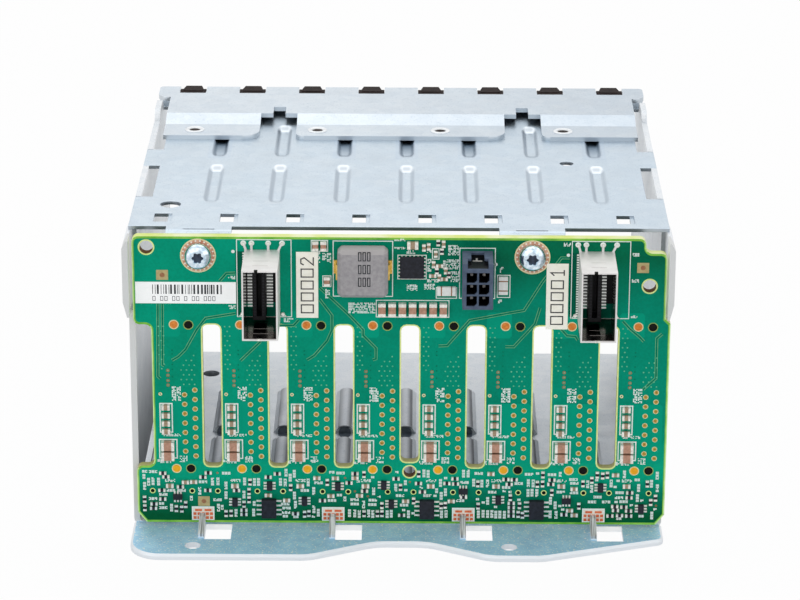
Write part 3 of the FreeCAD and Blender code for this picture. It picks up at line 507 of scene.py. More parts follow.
def rectangle(x0, x1, z0, z1):
    """Outline of a rectangle."""
    return [(x0, z0), (x1, z0), (x1, z1), (x0, z1)]


def clipped(x0, x1, z0, z1, corner):
    """Outline of a rectangle with its corners cut off."""
    return [(x0 + corner, z0), (x1 - corner, z0), (x1, z0 + corner), (x1, z1 - corner),
            (x1 - corner, z1), (x0 + corner, z1), (x0, z1 - corner), (x0, z0 + corner)]


def circle(x, z, radius, sides):
    turns = [math.tau * i / sides for i in range(sides)]
    return [(x + radius * math.cos(turn), z + radius * math.sin(turn)) for turn in turns]


def at(outline, y):
    """Outline of (x, z) points as a ring at one depth."""
    return [(x, y, z) for x, z in outline]


def lying(outline, z):
    """Outline of (x, y) points as a ring at one height."""
    return [(x, y, z) for x, y in outline]


def beside(route, shift):
    """Route moved sideways, with mitred corners."""
    sides = []
    for (x0, z0), (x1, z1) in zip(route, route[1:]):
        length = math.hypot(x1 - x0, z1 - z0)
        sides.append((-(z1 - z0) / length, (x1 - x0) / length))
    moved = []
    for i, (x, z) in enumerate(route):
        before = sides[max(i - 1, 0)]
        after = sides[min(i, len(sides) - 1)]
        scale = shift / (1 + before[0] * after[0] + before[1] * after[1])
        moved.append((x + (before[0] + after[0]) * scale, z + (before[1] + after[1]) * scale))
    return moved


def inward(loop, distance):
    """Loop moved sideways into its face, which lies on its left."""
    return beside(loop[-1:] + loop + loop[:1], distance)[1:-1]


def rear_loops(node):
    """Edge loops of the rear face of a flat node, each a list of (x, z) points."""
    mesh = nodes[node].data
    edges = set()
    for polygon in mesh.polygons:
        if polygon.normal.y > -0.99:
            continue
        places = [mesh.vertices[i].co for i in polygon.vertices]
        spots = [(round(c.x / MM, 3), round(c.z / MM, 3)) for c in places]
        for edge in zip(spots, spots[1:] + spots[:1]):
            if edge[::-1] in edges:
                edges.remove(edge[::-1])
            else:
                edges.add(edge)
    following = dict(edges)
    loops = []
    while following:
        start, spot = following.popitem()
        loop = [start]
        while spot != start:
            loop.append(spot)
            spot = following.pop(spot)
        loops.append(loop)
    return loops


class Build:
    """Closed solids for one piece, in millimetres, each with a paint."""

    def __init__(self):
        self.points = []
        self.faces = []
        self.kinds = []

    def skin(self, rings, kind, closed=False):
        """Skin over rings of as many points each; capped at both ends unless it closes on itself."""
        start = len(self.points)
        count = len(rings[0])
        for ring in rings:
            self.points.extend(ring)
        made = []
        for step in range(len(rings) if closed else len(rings) - 1):
            here = start + step * count
            there = start + (step + 1) % len(rings) * count
            for i in range(count):
                j = (i + 1) % count
                made.append((here + i, here + j, there + j, there + i))
        if not closed:
            stop = len(self.points)
            made += [tuple(range(start, start + count)), tuple(range(stop - count, stop))]
        self.faces += made
        self.kinds += [kind] * len(made)

    def plate(self, outline, height, kind, base=face):
        """Flat plate over an (x, z) outline, standing that high off the board's face or another base."""
        self.skin([at(outline, base + sink), at(outline, base - height)], kind)

    def rect(self, x0, x1, z0, z1, height, kind, base=face):
        self.plate(rectangle(x0, x1, z0, z1), height, kind, base)

    def block(self, low, high, kind):
        """Box between two corners."""
        outline = rectangle(low[0], high[0], low[2], high[2])
        self.skin([at(outline, low[1]), at(outline, high[1])], kind)

    def disc(self, x, z, radius, height, kind, sides=16, base=face):
        self.plate(circle(x, z, radius, sides), height, kind, base)

    def band(self, outer, inner, height, kind, base=face):
        """Flat band between two outlines of as many points."""
        back, front = base + sink, base - height
        self.skin([at(outer, back), at(outer, front), at(inner, front), at(inner, back)], kind, closed=True)

    def ring(self, x, z, inner, outer, height, kind, sides=16):
        self.band(circle(x, z, outer, sides), circle(x, z, inner, sides), height, kind)

    def frame(self, x0, x1, z0, z1, width, height, kind, base=face):
        """Printed frame, its lines inside the rectangle."""
        inner = rectangle(*grown(x0, x1, z0, z1, -width))
        self.band(rectangle(x0, x1, z0, z1), inner, height, kind, base)

    def stroke(self, route, width, height, kind, shift=0.0, base=face):
        """Line of that width along a route of (x, z) points, moved sideways by shift."""
        left = beside(route, shift + width / 2)
        right = beside(route, shift - width / 2)
        for i in range(len(route) - 1):
            self.plate([left[i], right[i], right[i + 1], left[i + 1]], height, kind, base)

    def finish(self, name, slot, replaced=None, smooth=False):
        """Makes the piece, on the root body."""
        used = sorted(set(self.kinds))
        mesh = bpy.data.meshes.new(name)
        mesh.from_pydata([[c * MM for c in point] for point in self.points], [], self.faces)
        for kind in used:
            mesh.materials.append(paints[kind])
        for polygon, kind in zip(mesh.polygons, self.kinds):
            polygon.material_index = used.index(kind)
            polygon.use_smooth = smooth
        work = bmesh.new()
        work.from_mesh(mesh)
        bmesh.ops.recalc_face_normals(work, faces=work.faces)
        work.to_mesh(mesh)
        work.free()
        if smooth:
            mesh.set_sharp_from_angle(angle=math.radians(sharp_turn))
        piece = bpy.data.objects.new(name, mesh)
        scene.collection.objects.link(piece)
        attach(piece, "root")
        if replaced:
            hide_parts(replaced)


# Board: bare rims along its edges, slots and holes
rim_width = 0.34
outline_width = 0.55
lime_width = 0.3
peg_rim_width = 0.18
peg_reach = 1.0
peg_depth = 0.12
mount_hole_size = 6.0
hole_wall = 0.03
hole_wall_start = 0.05
mount_holes = []
rims = Build()
for loop in rear_loops("backplane_board"):
    xs, zs = zip(*loop)
    wide, tall = max(xs) - min(xs), max(zs) - min(zs)
    middle = (max(xs) + min(xs)) / 2, (max(zs) + min(zs)) / 2
    round_hole = abs(wide - tall) < 0.1 * wide
    if round_hole and any(abs(middle[0] - x) < peg_reach for x in connectors):
        rims.band(loop, inward(loop, peg_rim_width), rim_height, "olive")
        rims.disc(*middle, wide / 2 - sink, 0, "void", 20, face + peg_depth)
        continue
    if wide > mount_hole_size:
        rims.band(loop, inward(loop, outline_width), rim_height, "edge_green")
        # Lime strokes along the upright cut edges: painted highlight
        for start, end in zip(loop, loop[1:] + loop[:1]):
            if abs(start[1] - end[1]) > abs(start[0] - end[0]):
                rims.stroke([start, end], lime_width, gap_height, "lime", lime_width / 2)
        continue
    rims.band(loop, inward(loop, rim_width), rim_height, "laminate")
    if round_hole:
        reach = wide / 2 + rim_width
        mount_holes.append(about(*middle, reach, reach))
        # Painted shade: a brown band over the lower inner wall of the hole
        lower = sorted(spot for spot in loop if spot[1] < middle[1] - 0.1 * wide)
        share = 1 - 2 * hole_wall / wide
        inner = [[m + (c - m) * share for m, c in zip(middle, spot)] for spot in reversed(lower)]
        rims.skin([at(lower + inner, y) for y in (face + hole_wall_start, board_high.y)], "hole_wall")
rims.finish("board_rims", "board_green")

# Copper pours and routed pairs under the lacquer
traces = Build()
pair_routes = [
    [(-59.3, 61.2), (-59.7, 42.0), (-59.1, 41.4)],
    [(-58.2, 61.2), (-58.5, 45.1), (-58.0, 44.8)],
    [(-40.2, 58.8), (-47.6, 57.5), (-49.9, 54.4), (-52.7, 49.2), (-54.5, 47.3), (-56.1, 46.3)],
    [(-44.0, 67.3), (-42.3, 69.3), (-40.1, 69.4)],
    [(-34.1, 51.4), (-39.1, 46.3)],
    [(-19.4, 62.6), (-17.6, 60.1), (-16.4, 58.4), (-16.4, 54.6), (-17.6, 51.7), (-20.8, 47.8), (-22.6, 46.6)],
    [(-19.4, 65.7), (-12.5, 58.9), (-8.7, 54.7), (-8.7, 53.2), (-5.5, 49.8), (-5.5, 47.0), (-6.3, 46.7)],
    [(-29.5, 55.7), (-25.9, 55.7), (-24.6, 57.2)],
    [(41.9, 73.8), (39.9, 73.8), (35.4, 67.5), (31.0, 60.0), (26.8, 59.2), (17.6, 57.3), (12.1, 50.6),
     (10.0, 50.5)],
    [(34.9, 60.7), (33.7, 56.4), (28.6, 50.4), (26.5, 50.4)],
    [(55.4, 57.3), (57.3, 55.2), (59.8, 53.0), (60.7, 52.0)],
    [(39.8, 55.6), (41.7, 53.4), (43.8, 53.2), (44.4, 52.2)],
    [(65.2, 54.0), (63.9, 52.8), (64.0, 42.2), (60.9, 39.2)],
]
lane_pours = [(-5.7, 0.5, 52.6, 59.4), (-5.5, 5.6, 19.2, 35.2)]
pour_corner = 0.6
pair_gap = 0.56
pair_width = 0.15
for route in pair_routes:
    traces.stroke(route, pair_width, trace_height, "light_mask", pair_gap / 2)
    traces.stroke(route, pair_width, trace_height, "light_mask", -pair_gap / 2)
    traces.stroke(route, pair_gap - pair_width, gap_height, "dark_mask")
for lane in lanes:
    for start, end, foot, top in lane_pours:
        traces.plate(clipped(lane + start, lane + end, foot, top, pour_corner), pour_height, "pour")
traces.finish("board_traces", "board_green")

# Plated holes: connector pins, via clusters, alignment holes and copper dots
pin_pitch = 2.54
pin_columns = [(1.28, 37.13, 7), (3.87, 38.4, 8)]
pin_ring = (0.46, 0.66)
pin_body = (0.16, 0.5)
pin_hole = 0.2
pin_rise = 0.08
pin_dip = 0.06
pins = Build()
for lane in lanes:
    for shift, top, count in pin_columns:
        for i in range(count):
            place = (lane + shift, top - i * pin_pitch)
            pins.ring(*place, *pin_ring, pad_height, "ring", 18)
            pins.ring(*place, *pin_body, pin_rise, "pin_gold", 14)
            pins.disc(*place, pin_hole, pin_dip, "pinhole", 12)
pins.finish("connector_pins", "tin")

via_radius = 0.2
left_top, left_step = 55.3, 1.25
right_top, right_step = 46.3, 1.28
via_spots = [(3.75, 47.6)]
for row in range(10):
    shifts = (-4.25,) if row % 2 else (-4.85, -3.65)
    via_spots += [(shift, left_top - row * left_step) for shift in shifts]
for row in range(6):
    shifts = (1.85, 3.15) if row == 0 else [(0.55, 1.9, 3.2), (1.15, 2.55, 3.85)][row % 2]
    via_spots += [(shift, right_top - row * right_step) for shift in shifts]
test_shift = -2.75
test_levels = (43.6, 42.3, 40.9, 39.7)
blind_shift = -1.6
blind_levels = (49.0, 48.0, 45.2, 43.9, 41.9)
align_shifts = (-7.2, 2.75)
align_level = 11.1
edge_room = 1.5
vias = Build()
for lane in lanes:
    for shift, height in via_spots:
        vias.disc(lane + shift, height, via_radius, via_height, "bright_trace", 8)
    for height in test_levels:
        vias.ring(lane + test_shift, height, 0.2, 0.42, pad_height, "brown", 12)
        vias.disc(lane + test_shift, height, 0.24, via_height, "bright_trace", 10)
    vias.ring(lane - 4.75, 37.3, 0.2, 0.45, pad_height, "ring", 12)
    for height in blind_levels:
        vias.disc(lane + blind_shift, height, 0.22, via_height, "dark_mask", 8)
    for shift in align_shifts:
        if lane + shift > board_low.x + edge_room:
            vias.ring(lane + shift, align_level, 0.5, 0.72, pad_height, "laminate", 16)
            vias.disc(lane + shift, align_level, 0.55, via_height, "void", 14)
vias.finish("board_vias", "board_green")

dot_shift = -1.05
dots = Build()
for lane in lanes:
    for height, metal in ((55.8, "copper"), (17.2, "amber")):
        dots.ring(lane + dot_shift, height, 1.0, 1.22, pad_height, "ring", 24)
        dots.disc(lane + dot_shift, height, 1.04, via_height, metal, 24)
dots.finish("copper_dots", "board_green")

# Ring pads under the two screws, with a dotted print round them
pads = Build()
for low, high in screw_boxes:
    place = middle_of(low, high)
    pads.ring(*place, 2.0, 4.2, via_height, "blush", 36)
    pads.ring(*place, 4.1, 4.4, pad_height, "ring", 36)
    for x, z in circle(*place, 3.8, 22):
        pads.disc(x, z, 0.24, pad_height, "chalk", 10)

# Sighting marks, and the ground pads at the hooks with their copper showing in cells and two bars
sight_marks = [(-58.1, 68.8), (60.0, 71.3), (-48.8, 8.3)]
for x, z in sight_marks:
    pads.rect(*about(x, z, 1.45, 1.3), via_height, "sand")
    pads.disc(x, z, 0.62, pad_height, "brown", 16)
ground_start, ground_end = -2.45, 2.75
ground_foot, ground_top = 3.1, 6.6
ground_frame = 0.25
ground_line = 0.3
cell_columns, cell_rows = 5, 2
cell_x, cell_z = (ground_end - ground_start) / cell_columns, 1.1
cell_gap_x, cell_gap_z = 0.14, 0.18
cell_foot = ground_foot + 0.1
bar_starts = (-1.9, 0.5)
bar_length = 1.75
bar_foot, bar_top = ground_top - 1.05, ground_top - 0.45
for x in hook_places:
    left, right = x + ground_start, x + ground_end
    pads.frame(left - ground_frame, right + ground_frame, ground_foot, ground_top + ground_frame,
               ground_line, pad_height, "silk")
    pads.rect(left, right, ground_foot, ground_top, via_height, "chalk")
    for column in range(cell_columns):
        for row in range(cell_rows):
            start, foot = left + column * cell_x, cell_foot + row * cell_z
            pads.rect(start + cell_gap_x, start + cell_x - cell_gap_x, foot + cell_gap_z,
                      foot + cell_z - cell_gap_z, pad_height, "rust")
    for start in bar_starts:
        pads.rect(x + start, x + start + bar_length, bar_foot, bar_top, mark_height, "rust")
pads.finish("board_pads", "board_green")

# Printed marks: frames round parts, and rows of short dashes in place of small print
text_cell = 0.66
text_row = 0.98
dash_columns = (0.06, 0.5)
dash_levels = (0.08, 0.38, 0.68)
dash_length = 0.4
dash_width = 0.25
silk = Build()


def small_print(x0, x1, z0, z1, upright=False, fill=0.66):
    """Rows of short random dashes over a share of a rectangle."""
    along, across = ((z0, z1), (x0, x1)) if upright else ((x0, x1), (z0, z1))
    rows = max(1, round((across[1] - across[0]) / text_row))
    cells = max(1, round((along[1] - along[0]) / text_cell))
    row_step = (across[1] - across[0]) / rows
    step = (along[1] - along[0]) / cells
    for row in range(rows):
        for cell in range(cells):
            for column in dash_columns:
                for level in dash_levels:
                    if dice.random() > fill:
                        continue
                    a0 = along[0] + (cell + column) * step
                    b0 = across[0] + (row + level) * row_step
                    a1, b1 = a0 + dash_length * step, b0 + dash_width * row_step
                    spot = (b0, b1, a0, a1) if upright else (a0, a1, b0, b1)
                    silk.rect(*spot, print_height, "silk")


lane_line = 0.3
lane_frames = [(-5.05, -1.75, 26.9, 34.9), (-5.35, -0.7, 19.9, 25.2)]
lane_texts = [
    (-1.95, 0.45, 35.5, 39.4, True), (-4.15, 0.25, 25.9, 26.7, False), (-5.85, -2.35, 18.6, 19.7, False),
    (-0.25, 1.75, 18.9, 20.7, False),
]
for lane in lanes:
    for start, end, foot, top in lane_frames:
        silk.frame(lane + start, lane + end, foot, top, lane_line, print_height, "silk")
    for start, end, foot, top, upright in lane_texts:
        small_print(lane + start, lane + end, foot, top, upright)
part_line = 0.22
for node, margin in (("power_header", 0.7), ("inductor_body", 1.2), ("bulk_capacitors", 0.6)):
    low, high = span(node)
    silk.frame(*grown(low.x, high.x, low.z, high.z, margin), part_line, print_height, "silk")
print_frames = [
    (-39.8, -26.25, 57.9, 78.2), (42.4, 56.9, 57.9, 78.2), (-0.28, 6.9, 68.0, 74.4), (8.2, 10.0, 73.2, 76.1),
    (9.2, 14.4, 63.0, 66.0), (24.2, 27.5, 63.3, 69.3), (-18.7, -16.5, 65.9, 68.9), (-21.5, -17.3, 75.1, 78.1),
]
frame_line = 0.2
for place in print_frames:
    silk.frame(*place, frame_line, print_height, "silk")
level_texts = [
    (-1.1, 1.7, 77.9, 78.6), (-1.1, 1.7, 75.8, 76.4), (1.9, 4.1, 74.6, 75.6), (10.9, 14.9, 70.6, 73.3),
    (6.3, 9.0, 65.3, 66.9), (2.0, 4.7, 65.0, 66.7), (-28.3, -25.9, 56.5, 57.7), (-41.9, -40.1, 67.7, 68.7),
    (-41.9, -40.1, 59.9, 61.0), (40.4, 42.2, 76.7, 77.8), (57.3, 59.0, 74.2, 75.2), (57.3, 59.1, 67.4, 68.4),
    (57.3, 59.0, 58.1, 58.9), (24.5, 25.5, 61.8, 62.9), (12.8, 15.2, 67.3, 70.2), (7.0, 9.9, 67.2, 68.1),
    (6.9, 8.1, 74.9, 75.7),
]
upright_texts = [
    (12.1, 15.05, 74.3, 77.0), (-12.4, -5.6, 59.0, 61.9), (-18.8, -16.5, 72.2, 74.8),
    (-18.1, -16.8, 62.9, 65.4), (24.8, 25.8, 69.8, 71.4), (7.0, 8.1, 70.0, 73.4), (-21.3, -19.2, 72.2, 75.4),
]
for place in level_texts:
    small_print(*place)
for place in upright_texts:
    small_print(*place, upright=True)
for x, z in ((-40.6, 75.0), (41.6, 74.5), (23.9, 72.0)):
    silk.disc(x, z, 0.42, print_height, "silk", 14)

# Small parts: feet of the coil, tinned ends and bands on the moulded parts
caps = Build()
coil_low, coil_high = span("inductor_body")
coil_foot = 1.0
coil_overlap = 0.3
coil_foot_half = 1.7
coil_foot_rise = 0.5
coil_foot_shift = 0.6
coil_x, coil_z = middle_of(coil_low, coil_high)
for start, end in ((coil_low.x - coil_foot, coil_low.x + coil_overlap),
                   (coil_high.x - coil_overlap, coil_high.x + coil_foot)):
    middle = coil_z + coil_foot_shift
    caps.rect(start, end, middle - coil_foot_half, middle + coil_foot_half, coil_foot_rise, "gold")
end_grow = 0.03


def end_caps(node, axis, share):
    """Tinned ends on every small part of a node, along the x or the z axis."""
    grow = Vector((end_grow, 0, end_grow))
    for low, high in solids_of(node):
        length = (high[axis] - low[axis]) * share
        for near in (True, False):
            start, end = low - grow, high + grow
            start.y -= end_grow
            if near:
                end[axis] = low[axis] + length
            else:
                start[axis] = high[axis] - length
            caps.block(start, end, "tin")


end_caps("lane_capacitors", 0, 0.27)
end_caps("lane_bulk_capacitors", 0, 0.21)
end_caps("bulk_capacitors", 2, 0.24)
fuse_band = 0.06
for low, high in solids_of("fuses"):
    along = 0 if high.x - low.x > high.z - low.z else 2
    length = high[along] - low[along]
    for share in (0.2, 0.74):
        start, end = low.copy(), high.copy()
        start[along] = low[along] + length * share
        end[along] = start[along] + length * fuse_band
        start.y -= end_grow
        caps.block(start, end, "brown")

# Rectangles of the lower band that the scatter of small parts and print leaves alone
free_gap = 0.08
left_room, right_room = 1.2, 1.4
taken = list(mount_holes)
for node in ("driver_chips", "small_chips", "fuses"):
    for low, high in solids_of(node):
        taken.append((low.x - 1.0, high.x + 1.0, low.z - 0.4, high.z + 0.4))
for x in hook_places:
    taken.append((x - 3.1, x + 3.3, 2.0, 8.2))
for lane in lanes:
    taken += [about(lane + shift, align_level, 1.1, 1.1) for shift in align_shifts]
    taken += [(lane - 2.6, lane + 0.5, 15.6, 18.8), (lane + 0.9, lane + 4.2, 15.4, 18.9)]
taken += [about(*mark, 1.7, 1.5) for mark in sight_marks]


def free(x0, x1, z0, z1):
    """True if nothing else stands in the rectangle, which is then taken."""
    clear_foot = 2.6 if x0 < hook_places[0] + 5 else 1.2
    if x0 < board_low.x + left_room or x1 > board_high.x - right_room or z0 < board_low.z + clear_foot:
        return False
    for a0, a1, b0, b1 in taken:
        if x0 < a1 and x1 > a0 and z0 < b1 and z1 > b0:
            return False
    taken.append(grown(x0, x1, z0, z1, free_gap))
    return True


# Chip parts: share of each tinned end, waist of the body, height over the width, and the usual length
chip_end = 0.3
chip_waist = 0.9
chip_rise = 0.55
chip_length = 1.8


def chip_part(x, z, length, width, body, upright=False):
    """Small two-ended part on the board: tinned ends and a slightly narrower body between them."""
    half, end = length / 2, length * chip_end
    ends = [(-half, end - half, 1, "tin"), (half - end, half, 1, "tin")]
    for start, stop, share, kind in ends + [(end - half, half - end, chip_waist, body)]:
        side = width / 2 * share
        if upright:
            place = x - side, x + side, z + start, z + stop
        else:
            place = x + start, x + stop, z - side, z + side
        caps.rect(*place, width * chip_rise, kind)


lane_part_shift = -2.85
lane_part_level = 12.55
lane_part_climb = 0.08
for i, lane in enumerate(lanes):
    x, z = lane + lane_part_shift, lane_part_level + lane_part_climb * i
    if free(*about(x, z, 1.0, 0.6)):
        chip_part(x, z, 1.9, 1.1, "capacitor")
        small_print(x - 1.2, x + 1.4, z + 0.9, z + 1.8)
        taken.append((x - 1.3, x + 1.5, z + 0.8, z + 1.9))
level_parts = [(3.45, 77.0, 2.7, 1.9), (10.1, 71.6, 1.8, 0.9), (8.4, 69.0, 1.8, 0.9), (11.2, 68.2, 1.8, 0.9)]
for place in level_parts:
    chip_part(*place, "capacitor")
upright_groups = [
    (2.4, 1.5, "rosy", [(-20.4, 76.6), (-18.4, 76.6), (-17.6, 67.4)]),
    (1.8, 0.9, "capacitor", [(6.2, 76.3), (7.35, 76.6), (9.1, 74.7), (11.0, 77.3), (8.6, 72.0), (11.6, 70.4),
                             (10.0, 68.6)]),
    (1.6, 0.9, "chip", [(9.4, 70.3), (12.3, 69.3), (10.6, 75.4), (9.7, 77.6)]),
]
for length, width, body, places in upright_groups:
    for place in places:
        chip_part(*place, length, width, body, upright=True)

# Stacks of four resistors to the left of the driver chips, as in the photograph
stack_shift = 4.5
stack_start = 0.6
stack_pitch = 1.15
for low, high in solids_of("driver_chips"):
    x = low.x - stack_shift
    for i in range(4):
        z = low.z + stack_start + i * stack_pitch
        if free(*about(x, z, 0.95, 0.45)):
            chip_part(x, z, chip_length, 0.85, "chip")

# Scatter over the lower band: small parts and print first, then smaller print in the gaps
band_fill = 0.95
band_foot = 0.8
band_top = 16.6
row_pitch = 1.22
column_pitch = 1.15
row_count = int((band_top - board_low.z) / row_pitch)
column_count = int((board_high.x - board_low.x) / column_pitch)


def scatter(across, up, first_column, choices):
    """Tries one spot in each cell of the band. A choice has the range of draws that it answers to, half the
    room that it needs, and what makes it; with a single choice nothing is drawn for it."""
    for row in range(row_count):
        for column in range(first_column, column_count):
            x = board_low.x + (column + dice.uniform(*across)) * column_pitch
            z = board_low.z + band_foot + (row + dice.uniform(*up)) * row_pitch
            draw = dice.random() if len(choices) > 1 else 0
            for least, most, half_x, half_z, make in choices:
                if least <= draw < most and free(*about(x, z, half_x, half_z)):
                    make(x, z)
                    break


def part_maker(width, body, upright=False):
    """What puts one small part of the scatter at a spot."""
    return lambda x, z: chip_part(x, z, chip_length, width, body, upright)


def print_maker(half_x, half_z, upright=False):
    """What puts dashes of print about a spot."""
    return lambda x, z: small_print(*about(x, z, half_x, half_z), upright, band_fill)


def solder_spot(x, z):
    caps.ring(x, z, 0.12, 0.3, pad_height, "brown", 10)


scatter((0.3, 0.7), (0.35, 0.65), 0, [
    (0, 0.24, 0.95, 0.45, part_maker(0.85, "chip")),
    (0, 0.34, 0.45, 0.95, part_maker(0.85, "chip", upright=True)),
    (0, 0.42, 0.95, 0.5, part_maker(0.95, "capacitor")),
    (0, 0.84, 1.2, 0.45, print_maker(1.1, 0.42)),
    (0, 0.985, 0.45, 1.2, print_maker(0.42, 1.1, upright=True)),
    (0.985, 1, 0.42, 0.42, solder_spot),
])
scatter((0.2, 0.8), (0.2, 0.8), 0, [
    (0, 0.5, 0.75, 0.4, print_maker(0.7, 0.4)),
    (0.6, 1, 0.4, 0.75, print_maker(0.4, 0.7, upright=True)),
])
scatter((0.1, 0.9), (0.1, 0.9), column_count // 3, [(0, 1, 0.5, 0.36, print_maker(0.48, 0.34))])
caps.finish("small_part_ends", "tin")

# Leads of the chips
leads = Build()
lead_half = 0.21
lead_root = 0.15
lead_rise = 0.3
for node, count, reach in (("driver_chips", 4, 1.3), ("small_chips", 3, 0.8)):
    for low, high in solids_of(node):
        upright = high.z - low.z > high.x - low.x
        axis, side = (2, 0) if upright else (0, 2)
        pitch = (high[axis] - low[axis]) / count
        ends = ((low[side] - reach, low[side] + lead_root), (high[side] - lead_root, high[side] + reach))
        for i in range(count):
            along = low[axis] + (i + 0.5) * pitch
            line = (along - lead_half, along + lead_half)
            for end in ends:
                place = (*end, *line) if upright else (*line, *end)
                leads.rect(*place, lead_rise, "tin")
low, high = span("regulator_chip")
quad_leads = 6
quad_reach = 0.4
quad_half = 0.17
quad_rise = 0.12
for i in range(quad_leads):
    step = (i + 0.5) / quad_leads
    along_x = low.x + (high.x - low.x) * step
    along_z = low.z + (high.z - low.z) * step
    for edge, sign in ((low, -1), (high, 1)):
        rows = sorted((edge.z, edge.z + sign * quad_reach))
        columns = sorted((edge.x, edge.x + sign * quad_reach))
        leads.rect(along_x - quad_half, along_x + quad_half, *rows, quad_rise, "tin")
        leads.rect(*columns, along_z - quad_half, along_z + quad_half, quad_rise, "tin")

# Glints on the floor of the notch in the power header
low, high = span("power_header")
notch_floor = high.z - 1.3
glint_rise = 0.06
glint_x = middle_of(low, high)[0] - 0.1
for left, right, start, end in ((-1.2, 1.2, 5.5, 6.2), (-0.4, 0.1, 6.3, 7.9)):
    leads.block((glint_x + left, low.y + start, notch_floor - sink),
                (glint_x + right, low.y + end, notch_floor + glint_rise), "fold")
leads.finish("part_leads", "tin")
silk.finish("board_print", "board_green")

# Ports: glossy lining and fold lines with painted shade, notches in the mouth, painted shade beside the
# shell, solder tails and posts
port_width = 8.7
port_height = 18.0
port_wall = 0.4
tower_shift = 0.55
lining = 0.05
lining_start = 0.4
fold_half = 1.85
fold_width = 0.22
fold_rise = 0.03
notch_lap = 0.06
proud = 0.02
post_shifts = (-4.6, -2.6, 1.5, 4.9)
post_rise = 1.7
post_radius, post_stand = 0.36, 0.75
post_ring = (0.34, 0.7)
foot_shift = 5.0
foot_rise = 1.3
foot_radius, foot_stand = 0.45, 0.6
foot_line = 0.22
clear_sill = 4.4
tail_count = 26
tail_pitch = 0.635
tail_start = 0.9
tail_reach = 0.5
tail_rise = 0.35
tail_half = 0.16
shade_reach = 2.2
speck_width = 0.4
ports = Build()
for port in (1, 2):
    low, high = span(f"port_shell_{port}")
    tower_low, tower_high = span(f"port_insert_{port}")
    middle = middle_of(tower_low, tower_high)[0] + tower_shift
    mouth = low.y
    sill, lintel = low.z, low.z + port_height
    half = port_width / 2 - port_wall
    floor_z, roof_z = sill + port_wall, lintel - port_wall
    outer, inner = (rectangle(*grown(middle - half, middle + half, floor_z, roof_z, margin))
                    for margin in (sink, -lining))
    start = mouth + lining_start
    rings = [at(outer, start), at(outer, face), at(inner, face), at(inner, start)]
    ports.skin(rings, "port_inside", closed=True)
    for share in (0.46, 0.24):
        y = mouth + (face - mouth) * share
        for foot, top in ((lintel - sink, lintel + proud), (floor_z, floor_z + lining + fold_rise)):
            ports.block((middle - fold_half, y, foot), (middle + fold_half, y + fold_width, top), "fold")
    ports.block((middle - 1.3, mouth - proud, roof_z - notch_lap),
                (middle - 0.45, mouth + 0.9, lintel + proud), "void")
    ports.block((middle - 0.8, mouth - proud, sill - proud),
                (middle + 0.45, mouth + 0.6, floor_z + notch_lap), "tin")
    ports.rect(middle - half, middle + half, sill + clear_sill, roof_z, gap_height, "port_black")
    edge = middle - port_width / 2
    ports.rect(edge - shade_reach, edge, sill + tail_start, lintel - tail_start / 2, rim_height, "port_shade")
    for i in range(tail_count):
        height = lintel - tail_start - i * tail_pitch
        ports.rect(edge - tail_reach, edge, height - tail_half, height + tail_half, tail_rise, "tail")
    for tail_low, tail_high in solids_of(f"port_contacts_{port}"):
        height = middle_of(tail_low, tail_high)[1]
        if tail_high.x < middle:
            for start in (tower_low.x + speck_width, tower_high.x - 2 * speck_width):
                ports.rect(start, start + speck_width, height - tail_half, height + tail_half, proud,
                           "port_speck", tower_low.y)
    for shift in post_shifts:
        x, z = middle + shift, lintel + post_rise
        ports.disc(x, z, post_radius, post_stand, "tin", 14)
        ports.ring(x, z, *post_ring, mark_height, "silk", 16)
    for sign in (-1, 1):
        x, z = middle + sign * foot_shift, sill + foot_rise
        ports.disc(x, z, foot_radius, foot_stand, "tin", 14)
        ports.stroke([(x, z), (x + sign * 1.0, z - 0.9)], foot_line, print_height, "tin")
ports.finish("port_details", "port_metal")

# Print on the labels: bars and boxes on the long one, boxes and a numeral on the small ones
ink = Build()
ink_height = 0.02
low, high = span("serial_label")
label_width, label_height = high.x - low.x, high.z - low.z
bar_dice = random.Random(3)
bar_low, bar_high = low.z + label_height * 0.44, high.z - label_height * 0.12
box_low, box_high = low.z + label_height * 0.12, low.z + label_height * 0.34
box_width = 0.75
box_line = 0.14
print_start = low.x + label_width * 0.17
across = print_start
while across < low.x + label_width * 0.86:
    width = bar_dice.choice((0.15, 0.15, 0.3, 0.45))
    ink.rect(across, across + width, bar_low, bar_high, ink_height, "ink", low.y)
    across += width + bar_dice.choice((0.22, 0.34, 0.5))
across = print_start
while across < low.x + label_width * 0.82:
    ink.frame(across, across + box_width, box_low, box_high, box_line, ink_height, "pale_ink", low.y)
    across += bar_dice.choice((1.05, 1.05, 1.9))

# Small labels are read from below upwards, so a numeral runs over a unit cell turned a quarter turn
letter_line = 0.3
letter_margin = 0.8
numerals = {
    1: [[(0.2, 0.75), (0.5, 1.0), (0.5, 0.0)], [(0.2, 0.0), (0.8, 0.0)]],
    2: [[(0.1, 0.75), (0.25, 0.97), (0.7, 0.97), (0.85, 0.72), (0.1, 0.03), (0.9, 0.03)]],
}
for port, strokes in numerals.items():
    low, high = span(f"port_label_{port}")
    middle = middle_of(low, high)[0]
    tall = (high.x - low.x) * 0.6
    cell = (high.z - low.z - 2 * letter_margin) / 5
    foot = low.z + letter_margin
    for i in range(4):
        start = foot + cell * (i + 0.12)
        place = middle - tall / 2, middle + tall / 2, start, start + cell * 0.76
        ink.frame(*place, letter_line, ink_height, "ink", low.y)
    for stroke in strokes:
        route = [(middle - (v - 0.5) * tall, foot + cell * 4.5 + (u - 0.5) * cell * 0.8) for u, v in stroke]
        ink.stroke(route, letter_line, ink_height, "ink", base=low.y)

